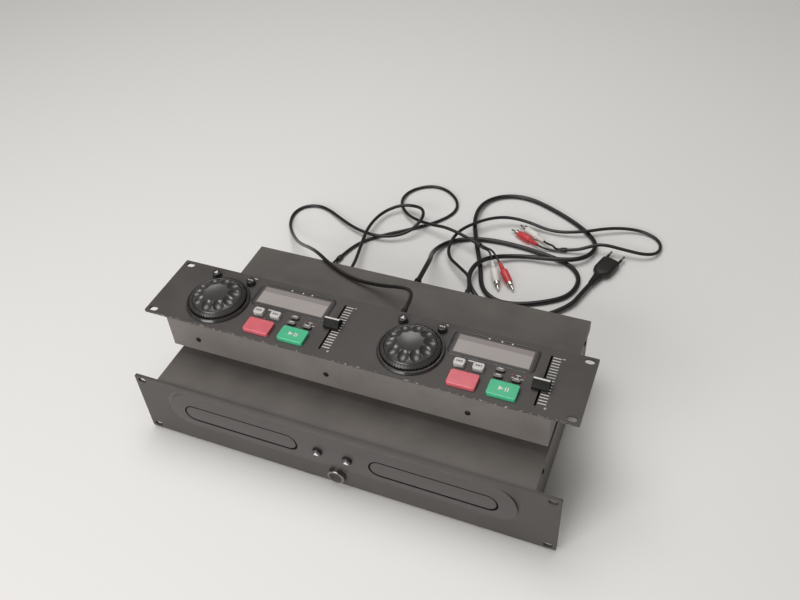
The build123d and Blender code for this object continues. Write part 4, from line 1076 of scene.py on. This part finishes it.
def rib_shape():
    """One rib that runs up the ring's wall and over its bevel, at the ring's angle zero."""
    shape = bmesh.new()
    rings = [
        ([Vector((radius, y, z)) for radius, z in RIB_OUTLINE], 0)
        for y in (-RIB_WIDTH / 2, RIB_WIDTH / 2)
    ]
    add_rings(shape, rings)
    return helper_object("rib", shape)


def rib_tree():
    """Copies of one rib, turned step by step round an upright axis."""
    tree, given = new_tree(
        "ribs_on_circle",
        {"Rib": "Object", "Ribs": "Int", "Centre": "Vector", "Plastic": "Material"},
    )
    rib = add(tree, "GeometryNodeObjectInfo", {"Object": given["Rib"]})
    points = add(tree, "GeometryNodeMeshLine", {"Count": given["Ribs"], "Offset": (0, 0, 0)})
    index = add(tree, "GeometryNodeInputIndex").outputs["Index"]
    angle = reckon(tree, "MULTIPLY", index, reckon(tree, "DIVIDE", 2 * math.pi, given["Ribs"]))
    turn = add(tree, "ShaderNodeCombineXYZ", {"Z": angle})
    placed = add(
        tree, "GeometryNodeInstanceOnPoints",
        {"Points": points.outputs["Mesh"], "Instance": rib.outputs["Geometry"],
         "Rotation": turn.outputs["Vector"]},
    )
    real = add(tree, "GeometryNodeRealizeInstances", {"Geometry": placed.outputs["Instances"]})
    moved = add(
        tree, "GeometryNodeTransform",
        {"Geometry": real.outputs["Geometry"], "Translation": given["Centre"]},
    )
    return end_tree(tree, moved.outputs["Geometry"], given["Plastic"])


rib = rib_shape()
ribs_on_circle = rib_tree()

# %% [markdown]
# The ring's body is turned: a wall, a bevel and a short inner lip. The dial and the ring turn
# apart, so each rides on its own body.

# %% Shuttle rings and dials
RING_PROFILE = (
    (0.35, RIB_ROOT), (0.6, RING_RADIUS), (RING_WALL, RING_RADIUS), (RING_TOP - 0.3, 28.7),
    (RING_TOP, 28.3), (RING_TOP - 0.1, 27.9), (1.7, 27.8),
)

for side in SIDES:
    dial(side)
    middle = over_panel(f"shuttle_ring_{side}")
    shape = bmesh.new()
    profile = [(height, radius, 0) for height, radius in RING_PROFILE]
    add_turned(shape, profile, middle, middle + Vector((0, 0, 1)), ROUND_STEPS)
    name = f"shuttle_ring_turned_{side}"
    ring = piece(name, shape, [dial_abs], f"shuttle_{side}")
    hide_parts(f"shuttle_ring_{side}")
    ribs = grown(
        f"shuttle_ribs_{side}", ribs_on_circle,
        {"Rib": rib, "Ribs": RIBS, "Centre": middle * MM, "Plastic": dial_abs},
    )
    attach(ribs, f"shuttle_{side}")
    print(ring.name, len(ribs.data.polygons), "rib faces")
bpy.data.objects.remove(rib)

# %% [markdown]
# The fascia's band swells out of the panel without a step, so a thin apron with a hollow curve runs
# round its edge. It is made of rings of points along a stadium, each ring a little wider and
# flatter than the one before.

# %% Soft edge of the fascia
APRON_INSIDE = 0.4
APRON_REACH = 4.5
APRON_FOOT = 0.05
APRON_PROUD = 0.12
BAND_RISE = 1.2
APRON_STEPS = 6
END_STEPS = 32

low, high = span("drive_fascia")
crest_y = low.y
band_radius = (high.z - low.z) / 2
straight = (high.x - low.x) / 2 - band_radius


def stadium(half, radius):
    """Points round a stadium, from its middle: X, and the height."""
    points = []
    for way in (1, -1):
        for step in range(END_STEPS + 1):
            angle = math.radians(-90 + 180 * step / END_STEPS)
            points.append((way * (half + radius * math.cos(angle)), way * radius * math.sin(angle)))
    return points


section = []
for step in range(APRON_STEPS + 1):
    share = step / APRON_STEPS
    grow = -APRON_INSIDE + (APRON_REACH + APRON_INSIDE) * share
    section.append((grow, (BAND_RISE + APRON_PROUD) * (1 - share) ** 2))
section += [(APRON_REACH, -APRON_FOOT), (-APRON_INSIDE, -APRON_FOOT)]
rings = []
for grow, rise in section:
    outline = stadium(straight, band_radius + grow)
    rings.append(([Vector((x, face_y - rise, band_z + z)) for x, z in outline], 0))
shape = bmesh.new()
add_rings(shape, rings + [rings[0]], closed_ends=False)
apron = piece("fascia_apron", shape, [fascia_abs], "casing", smooth_below=60)
print(apron.name, len(apron.data.polygons), "faces")

# %% [markdown]
# The gap round each tray door is deep and in shadow, and looks widest below the door, so a thin
# black lip of painted shade lines it. The lip is a stadium too, and follows the band's crown.

# %% Lips of the tray openings
OPENING_LENGTH = 137.5
OPENING_HEIGHT = 22.5
LIP_INSIDE = 0.85
LIP_OUTSIDE = 1.2
LIP_DROP = 0.9
LIP_SECTION = (
    (-LIP_INSIDE, 0.0, -0.5), (-LIP_INSIDE, 0.0, 0.02), (LIP_OUTSIDE, LIP_DROP, 0.08),
    (LIP_OUTSIDE, LIP_DROP, -0.02), (-0.05, 0.0, -0.02), (-0.05, 0.0, -0.5),
)
BAND_CROWN = 3.0

crown_radius = (band_radius**2 + BAND_CROWN**2) / (2 * BAND_CROWN)


def on_crown(x, z, proud):
    """A point over the band's crowned face."""
    sag = crown_radius - math.sqrt(crown_radius**2 - (z - band_z) ** 2)
    return Vector((x, crest_y + sag - proud, z))


def lip_ring(middle_x, grow, drop, proud):
    """A stadium round one opening, grown, lowered and lifted off the crown."""
    half = (OPENING_LENGTH - OPENING_HEIGHT) / 2
    outline = stadium(half, OPENING_HEIGHT / 2 + grow)
    return [on_crown(middle_x + x, band_z - drop + z, proud) for x, z in outline]


for side in SIDES:
    low, high = span(f"tray_door_{side}")
    middle_x = (low.x + high.x) / 2
    rings = [(lip_ring(middle_x, *corner), 0) for corner in LIP_SECTION]
    shape = bmesh.new()
    add_rings(shape, rings + [rings[0]], closed_ends=False)
    lip = piece(f"opening_lip_{side}", shape, [gap_shade_lip], "casing")
    print(lip.name, "round x, mm:", round(middle_x, 2))

# %% [markdown]
# ## Small parts on the panel
# Beside the cue key and the play key sits a small round lamp. The display has a raised frame round
# it, a moulded ring with a rounded section.

# %% Lamps and display frames
LAMP_RADIUS = 1.5
LAMP_SINK = 0.2
LAMP_PROFILE = ((0, LAMP_RADIUS), (0.6, LAMP_RADIUS), (1.0, 1.1), (1.2, 0.4))
LAMP_STEPS = 20
RED_LAMP_PLACE = (7.0, 30.3)
GREEN_LAMP_PLACE = (48.0, 30.3)
FRAME_SECTION = ((0.2, -0.1), (0.2, 0.3), (0.5, 0.5), (1.1, 0.5), (1.4, 0.3), (1.4, -0.1))


def rounded_outline(middle, length, width, radius, steps=6):
    """The outline of a rectangle with round corners."""
    points = []
    for corner, (sx, sy) in enumerate(((1, 1), (-1, 1), (-1, -1), (1, -1))):
        for step in range(steps + 1):
            angle = math.radians(90 * corner + 90 * step / steps)
            x = middle.x + sx * (length / 2 - radius) + radius * math.cos(angle)
            y = middle.y + sy * (width / 2 - radius) + radius * math.sin(angle)
            points.append((x, y))
    return points


for side in SIDES:
    shape = bmesh.new()
    for index, place in enumerate((RED_LAMP_PLACE, GREEN_LAMP_PLACE)):
        foot = on_deck(side, *place) - Vector((0, 0, LAMP_SINK))
        dome = [(height, radius, index) for height, radius in LAMP_PROFILE]
        add_turned(shape, dome, foot, foot + Vector((0, 0, 1)), LAMP_STEPS)
    piece(f"key_lamps_{side}", shape, [red_lamp, green_lamp], "casing")

    shape = bmesh.new()
    middle = on_deck(side, *LENS_MIDDLE)
    rings = []
    for grow, rise in FRAME_SECTION:
        length, width = (size + 2 * grow for size in LENS_SIZE)
        outline = rounded_outline(middle, length, width, LENS_CORNER + grow)
        rings.append(([Vector((x, y, panel_top + rise)) for x, y in outline], 0))
    add_rings(shape, rings + [rings[0]], closed_ends=False)
    edge = piece(f"display_frame_{side}", shape, [collar_abs], "casing")
    print(edge.name, len(edge.data.polygons), "faces")

# %% [markdown]
# ## Screws
# Pan-head screws hold the cover, the pan, the rear panel and the controller's box. One
# small head is modelled, and Geometry Nodes put a copy on every point of a point list, turned to
# the direction stored on that point. The realised copies become one plain mesh.

# %% One screw and its tree
SCREW_RADIUS = 3.0
SCREW_RISE = 1.5
SCREW_STEPS = 16
SCREW_PROFILE = (
    (-0.2, SCREW_RADIUS), (0.5, SCREW_RADIUS), (1.1, SCREW_RADIUS * 0.85),
    (SCREW_RISE, SCREW_RADIUS * 0.5),
)


def screw_head():
    """One pan head, standing on the origin."""
    shape = bmesh.new()
    profile = [(height, radius, 0) for height, radius in SCREW_PROFILE]
    add_turned(shape, profile, Vector((0, 0, 0)), Vector((0, 0, 1)), SCREW_STEPS)
    return helper_object("screw_head", shape)


def screw_tree():
    """A head on each point, turned to the direction that the point carries."""
    tree, given = new_tree(
        "screws_on_points", {"Geometry": "Geometry", "Head": "Object", "Metal": "Material"}
    )
    head = add(tree, "GeometryNodeObjectInfo", {"Object": given["Head"]})
    facing = add(
        tree, "GeometryNodeInputNamedAttribute", {"Name": "facing"}, data_type="FLOAT_VECTOR"
    )
    turn = add(
        tree, "FunctionNodeAlignRotationToVector", {"Vector": facing.outputs["Attribute"]},
        axis="Z",
    )
    placed = add(
        tree, "GeometryNodeInstanceOnPoints",
        {"Points": given["Geometry"], "Instance": head.outputs["Geometry"],
         "Rotation": turn.outputs["Rotation"]},
    )
    real = add(tree, "GeometryNodeRealizeInstances", {"Geometry": placed.outputs["Instances"]})
    return end_tree(tree, real.outputs["Geometry"], given["Metal"])


# %% [markdown]
# The screws' places follow the casings: three on each side of the cover, two on each side of the
# pan, two rows on the rear panel, and four faces of the controller's box.

# %% Screws on the casings
COVER_SCREW_DROP = 7
COVER_SCREW_MARGIN = 30
PAN_SCREW_HEIGHT = 20
PAN_SCREW_MARGIN = 18
REAR_HIGH_SCREWS = (-190, -95, 95, 190)
REAR_LOW_SCREWS = (-200, -60, 90, 200)
REAR_LOW_HEIGHT = 13
BOX_SCREWS = (-178.7, -23.4, 131.8)
BOX_SCREW_HEIGHT = 122.5

cover_left, cover_right = (corner.x for corner in span("drive_top_cover"))
pan_left, pan_right = (corner.x for corner in span("drive_base_pan"))
cover_front = span("drive_top_cover")[0].y
rear_high = span("drive_rear_panel")[1].z
box_left, box_right = (corner.x for corner in span("controller_box"))
box_back = span("controller_box")[1].y
spots = []
for x, way in ((cover_left, -1), (cover_right, 1)):
    for y in (
        cover_front + COVER_SCREW_MARGIN, (cover_front + rear_y) / 2, rear_y - COVER_SCREW_MARGIN
    ):
        spots.append(((x, y, cover_top - COVER_SCREW_DROP), (way, 0, 0)))
for x, way in ((pan_left, -1), (pan_right, 1)):
    for y in (cover_front + PAN_SCREW_MARGIN, rear_y - PAN_SCREW_MARGIN):
        spots.append(((x, y, PAN_SCREW_HEIGHT), (way, 0, 0)))
for x in REAR_HIGH_SCREWS:
    spots.append(((x, rear_y, rear_high - COVER_SCREW_DROP), (0, 1, 0)))
for x in REAR_LOW_SCREWS:
    spots.append(((x, rear_y, REAR_LOW_HEIGHT), (0, 1, 0)))
for x in BOX_SCREWS:
    spots.append(((x, wall_front, BOX_SCREW_HEIGHT), (0, -1, 0)))
    spots.append(((x, box_back, BOX_SCREW_HEIGHT), (0, 1, 0)))
for x, way in ((box_left, -1), (box_right, 1)):
    spots.append(((x, (wall_front + box_back) / 2, BOX_SCREW_HEIGHT), (way, 0, 0)))

points = bpy.data.meshes.new("screw_points")
points.from_pydata([Vector(place) * MM for place, _ in spots], [], [])
facing = points.attributes.new("facing", "FLOAT_VECTOR", "POINT")
for item, (_, way) in zip(facing.data, spots):
    item.vector = way
head = screw_head()
screws = grown("casing_screws", screw_tree(), {"Head": head, "Metal": black_screw}, points)
bpy.data.objects.remove(head)
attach(screws, "casing")
print("screws:", len(spots))

# %% [markdown]
# ## The leads as curves
# Each lead is one open NURBS spline with a round section. Near each end the twin audio leads split
# under a moulded sleeve into two thin tails, and each tail ends in a phono plug: white for left
# and red for right.

# %% Curves from routes
MAINS_DIAMETER = 6.5
CONTROL_DIAMETER = 4.8
AUDIO_DIAMETER = 4.6
TAIL_DIAMETER = 3.0
CURVE_STEPS = 10
SECTION_STEPS = 4


def behind(spots):
    """Route points as vectors of the whole object, in millimetres."""
    return [Vector((x, rear_y + back, z)) for x, back, z in spots]


def cable(name, spots, diameter, node=None):
    """A round cable along a route, as a NURBS curve that rides on the casing."""
    curve = bpy.data.curves.new(name, "CURVE")
    curve.dimensions = "3D"
    curve.bevel_depth = diameter / 2 * MM
    curve.bevel_resolution = SECTION_STEPS
    curve.resolution_u = CURVE_STEPS
    curve.use_fill_caps = True
    spline = curve.splines.new("NURBS")
    spline.points.add(len(spots) - 1)
    for point, place in zip(spline.points, spots):
        point.co = (*(place * MM), 1)
    spline.order_u = 3
    spline.use_endpoint_u = True
    curve.materials.append(cord_pvc)
    made = in_scene(bpy.data.objects.new(name, curve))
    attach(made, "casing")
    if node:
        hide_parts(node)
    return made


mains = cable("mains_cable", behind(MAINS_ROUTE), MAINS_DIAMETER, "mains_lead")
control = cable("control_cable", behind(CONTROL_ROUTE), CONTROL_DIAMETER, "control_lead")
AUDIO_ROUTES = {"left": AUDIO_LEFT_ROUTE, "right": AUDIO_RIGHT_ROUTE}
audio_trunks = {
    side: cable(
        f"audio_cable_{side}", behind(AUDIO_ROUTES[side]), AUDIO_DIAMETER, f"audio_lead_{side}"
    )
    for side in SIDES
}
print("control points of the leads:", len(MAINS_ROUTE), len(CONTROL_ROUTE))

# %% [markdown]
# A phono plug is a turned shape: a ringed strain relief, a barrel in the channel's colour, a metal
# shell and, on a loose plug, the pin that stands out of it. A plug on its jack hides its pin.

# %% Phono plugs
JACK_PLUG_LENGTH = 30.6
PHONO_HEIGHT = 25.8
PHONO_STEP = 7.0
RING_GROOVE = 0.5


def ringed(profile_start, length, thin, thick, rings, index):
    """A strain relief with grooves, as profile points from its first radius to its last."""
    points = []
    pitch = length / rings
    for ring in range(rings):
        low = profile_start + ring * pitch
        radius = thin + (thick - thin) * (ring + 1) / rings
        groove = radius - RING_GROOVE
        points += [(low + pitch * 0.1, radius, index), (low + pitch * 0.6, radius, index)]
        points += [(low + pitch * 0.65, groove, index), (low + pitch * 0.98, groove, index)]
    return points


def phono_plug(name, tint, start, toward):
    """A loose phono plug: ringed relief, barrel, metal shell and pin."""
    profile = [(0, 1.9, 0)] + ringed(0, 11.5, 2.2, 3.2, 5, 0)
    profile += [(12.6, 3.4, 0), (14.7, 5.2, 0), (16.2, 5.5, 0), (22, 5.5, 0), (34.5, 4.9, 0)]
    profile += [(35.5, 4.5, 0), (35.5, 4.3, 1), (40, 4.3, 1), (40, 3.3, 1), (39.2, 3.2, 1)]
    profile += [(39.2, 1.6, 1), (47.5, 1.6, 1), (48.6, 1.1, 1), (49, 0.4, 1)]
    shape = bmesh.new()
    add_turned(shape, profile, start, toward)
    return piece(name, shape, [tint, nickel], "casing")


def jack_plug(name, tint, x):
    """A phono plug pushed onto its jack, with its open shell towards the panel."""
    profile = [(9.8, 4.25, 1), (0.35, 4.25, 1), (0.35, 4.9, 1), (1.6, 5.0, 1), (1.6, 5.3, 0)]
    profile += [(2.4, 5.5, 0), (12, 5.5, 0), (18.5, 5.2, 0), (20, 4.4, 0)]
    profile += ringed(20.4, 9.8, 3.4, 2.4, 4, 0) + [(JACK_PLUG_LENGTH, 2.0, 0)]
    start = Vector((x, rear_y, PHONO_HEIGHT))
    shape = bmesh.new()
    add_turned(shape, profile, start, start + Vector((0, 1, 0)))
    return piece(name, shape, [tint, nickel], "casing")


print("grooves in a relief are", RING_GROOVE, "mm deep")

# %% [markdown]
# The sleeve at a split is lofted, because it is wide where two tails leave it and round where the
# trunk enters it. It also hands back the straight start of each tail.

# %% The sleeve at a split
FORK_SLEEVE_LENGTH = 9.0
FORK_SPREAD = 1.75
TAIL_LEAD_IN = 7.0
SLEEVE_STEPS = 32
SLEEVE_SECTIONS = (
    (0, 2.9, 2.9, 2, 0), (1.2, 3.5, 3.3, 2.2, 0), (7.4, 3.6, 3.0, 2.6, 0),
    (8.6, 3.5, 2.6, 2.6, 0), (FORK_SLEEVE_LENGTH, 3.3, 2.2, 2.6, 0),
)


def fork(name, end, before):
    """The sleeve at a split, and the straight starts of its two tails."""
    along = (end - before).normalized()
    across = Vector((-along.y, along.x, 0)).normalized() * FORK_SPREAD
    far = end + along * FORK_SLEEVE_LENGTH
    shape = bmesh.new()
    add_lofted(shape, SLEEVE_SECTIONS, end, far, SLEEVE_STEPS)
    sleeve = piece(name, shape, [plug_pvc], "casing")
    return sleeve, [(s, s + along * TAIL_LEAD_IN) for s in (far - across, far + across)]


print("a sleeve is", FORK_SLEEVE_LENGTH, "mm long")

# %% [markdown]
# Each tail is its own short cable from a plug to a sleeve. The two sleeves sit at the ends of a
# trunk.

# %% Audio leads, split by split
JACKS = {"left": -155.0, "right": 40.0}
JACK_TAILS = {
    "left": (
        [(-161.8, 50, 22), (-161.2, 64, 14), (-160.6, 78, 7)],
        [(-148.6, 50, 22), (-150.6, 64, 14), (-154, 78, 7)],
    ),
    "right": ([(35.5, 51, 21.5)], [(46.3, 50.5, 22)]),
}
PLUG_TAILS = {
    "left": ([(42.5, 163, 19.6)], [(47, 166, 18.4)]),
    "right": ([(121.5, 213, 9)], [(115, 209.4, 3.1)]),
}
LOOSE_PLUGS = {
    "left": (((52, 148.5, 14.6), (74, 106, 3.7)), ((62.5, 148.5, 14), (93, 112, 3.8))),
    "right": (((106, 222, 5.6), (69.5, 244.5, 5.6)), ((99, 212, 5.6), (61, 231, 5.6))),
}
TINTS = (("white", white_pvc), ("red", red_pvc))


def tail_cord(name, spots):
    """A thin tail as a cable on the casing."""
    made = cable(name, spots, TAIL_DIAMETER)
    return made


audio_sleeves = []
for side in SIDES:
    trunk = behind(AUDIO_ROUTES[side])
    near_sleeve, near = fork(f"audio_sleeve_near_{side}", trunk[0], trunk[1])
    far_sleeve, far = fork(f"audio_sleeve_far_{side}", trunk[-1], trunk[-2])
    audio_sleeves += [near_sleeve, far_sleeve]
    for at, (word, tint) in enumerate(TINTS):
        x = JACKS[side] + (-PHONO_STEP, PHONO_STEP)[at]
        plug = jack_plug(f"jack_plug_{word}_{side}", tint, x)
        start = Vector((x, rear_y + JACK_PLUG_LENGTH, PHONO_HEIGHT))
        spots = [start, start + Vector((0, TAIL_LEAD_IN, 0)), *behind(JACK_TAILS[side][at])]
        spots += [near[at][1], near[at][0]]
        tail_cord(
            f"jack_tail_{word}_{side}", spots
        )
        relief, tip = behind(LOOSE_PLUGS[side][at])
        plug = phono_plug(f"loose_plug_{word}_{side}", tint, relief, tip)
        last = relief - (tip - relief).normalized() * TAIL_LEAD_IN
        spots = [far[at][0], far[at][1], *behind(PLUG_TAILS[side][at]), last, relief]
        tail_cord(f"plug_tail_{word}_{side}", spots)
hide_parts("audio_plugs")
print("sleeves:", len(audio_sleeves), "and tails:", 2 * len(TINTS) * len(SIDES))

# %% [markdown]
# The control lead has a round locking plug at both ends: a plain metal ring, a black barrel and a
# ringed relief. It is turned about the axis of its socket.

# %% Control plugs
CONTROL_PLUG_X = {"controller": 22.0, "drive": -121.0}
CONTROLLER_SOCKET_HEIGHT = 128.9
CONTROL_PLUG_STEPS = 36


def control_plug(name, x, back, z):
    """A locking plug: a metal ring, a barrel and a ringed relief, standing on a rear face."""
    profile = [(0.35, 5.6, 1), (0.35, 6.2, 1), (1.0, 6.4, 1), (5.6, 6.4, 1), (6.2, 6.0, 1)]
    profile += [(6.2, 5.9, 0), (6.8, 6.2, 0), (13.6, 6.2, 0), (15.6, 4.9, 0), (16.4, 4.0, 0)]
    profile += ringed(16.8, 8.4, 4.0, 3.1, 4, 0) + [(25.6, 2.9, 0)]
    start = Vector((x, back, z))
    shape = bmesh.new()
    add_turned(shape, profile, start, start + Vector((0, 1, 0)), CONTROL_PLUG_STEPS)
    return piece(name, shape, [plug_pvc, zinc_steel], "casing")


plug_at_controller = control_plug(
    "control_plug_controller", CONTROL_PLUG_X["controller"], box_back, CONTROLLER_SOCKET_HEIGHT
)
plug_at_drive = control_plug("control_plug_drive", CONTROL_PLUG_X["drive"], rear_y, PHONO_HEIGHT)
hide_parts("control_plugs")
print("control plugs:", plug_at_controller.name, plug_at_drive.name)

# %% [markdown]
# The mains plug's body is lofted from flat, rounded sections behind a ringed relief, and its two
# pins are turned: insulated at the foot and bare at the tip.

# %% Mains plug
RELIEF_RINGS = 6
RELIEF_PITCH = 3.5
RELIEF_SIZE = 4.1
RELIEF_GROWTH = 0.42
RELIEF_GROOVE = 0.6
PLUG_STEPS = 48
PIN_FOOT = 55.9
PIN_OFFSET = 9.5
PIN_STEPS = 20
PIN_PROFILE = (
    (0, 1.9, 0), (9.5, 1.9, 0), (9.5, 2.0, 1), (17.6, 2.0, 1), (18.7, 1.5, 1), (19.0, 0.8, 1),
)

plug_before, plug_start = behind(MAINS_ROUTE)[-2:]
along = (plug_start - plug_before).normalized()
across = along.cross(Vector((0, 0, 1)))
sections = [(0, 3.6, 3.6, 2, 0)]
for ring in range(RELIEF_RINGS):
    low, size = ring * RELIEF_PITCH, RELIEF_SIZE + ring * RELIEF_GROWTH
    groove = size - RELIEF_GROOVE
    sections += [(low + 0.4, size, size, 2, 0), (low + 2.2, size, size, 2, 0)]
    sections += [(low + 2.4, groove, groove, 2, 0), (low + 3.4, groove, groove, 2, 0)]
sections += [(22.2, 7.0, 6.0, 2.3, 0), (27, 11.6, 6.5, 2.8, 0), (32, 13, 6.8, 3.4, 0)]
sections += [(52, 13, 6.8, 3.4, 0), (55.2, 12.6, 6.4, 3.4, 0), (56, 11.8, 5.8, 3.4, 0)]
shape = bmesh.new()
add_lofted(shape, sections, plug_start, plug_start + along, PLUG_STEPS)
for way in (-1, 1):
    foot = plug_start + along * PIN_FOOT + across * way * PIN_OFFSET
    add_turned(shape, PIN_PROFILE, foot, foot + along, PIN_STEPS)
mains_plug = piece("mains_plug_moulded", shape, [plug_pvc, nickel], "casing")
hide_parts("mains_plug")
print(mains_plug.name, len(mains_plug.data.polygons), "faces")

# %% [markdown]
# ## Floor and light
# A pale floor catches soft shadows. A wide lamp in front lights the upright faces, one overhead
# puts a soft streak into each dimple, and the world fills the rest. Together they light a surface
# about as bright as its colour is written.

# %% Floor
FLOOR_HALF = 9000
FLOOR_LEVELS = (-20, -0.05)

floor_finish, _, _ = finish_named("studio_floor", Roughness=0.6, Base_Color=colour("#e9e7e4"))
shape = bmesh.new()
add_plates(shape, [bar(0, 0, 2 * FLOOR_HALF, 2 * FLOOR_HALF)], *FLOOR_LEVELS)
floor = in_scene(helper_object("floor", shape))
floor.data.materials.append(floor_finish)
floor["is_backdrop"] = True
print("floor's top, mm:", FLOOR_LEVELS[1])

# %% [markdown]
# Both lamps are large squares, because the edge of a shadow grows softer with the lamp's size. A
# pale world light stands for the walls of the studio.

# %% Lamps and world
STUDIO_LAMPS = (
    ("front_lamp", (-0.6, -2.2, 1.0), 1.6, 44),
    ("overhead_lamp", (-0.3, 0.25, 2.0), 1.6, 24),
)
AIMED_AT = (0, 0, 0.1)
WORLD_STRENGTH = 0.22


def lamp(name, place, size, power):
    """A square soft lamp that faces the object."""
    data = bpy.data.lights.new(name, "AREA")
    data.size = size
    data.energy = power
    made = in_scene(bpy.data.objects.new(name, data))
    made.location = place
    made.rotation_mode = "QUATERNION"
    made.rotation_quaternion = (Vector(AIMED_AT) - Vector(place)).to_track_quat("-Z", "Y")
    print(name, power, "W")


for values in STUDIO_LAMPS:
    lamp(*values)
world = bpy.data.worlds.new("studio")
world.use_nodes = True
background = world.node_tree.nodes["Background"]
background.inputs["Color"].default_value = colour("#fffdfa")
background.inputs["Strength"].default_value = WORLD_STRENGTH
bpy.context.scene.world = world
bpy.context.scene.view_settings.view_transform = "Standard"

# %% Sizes and finish
low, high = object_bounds()
print("visual box, mm:", [round(v / MM, 1) for v in high - low])
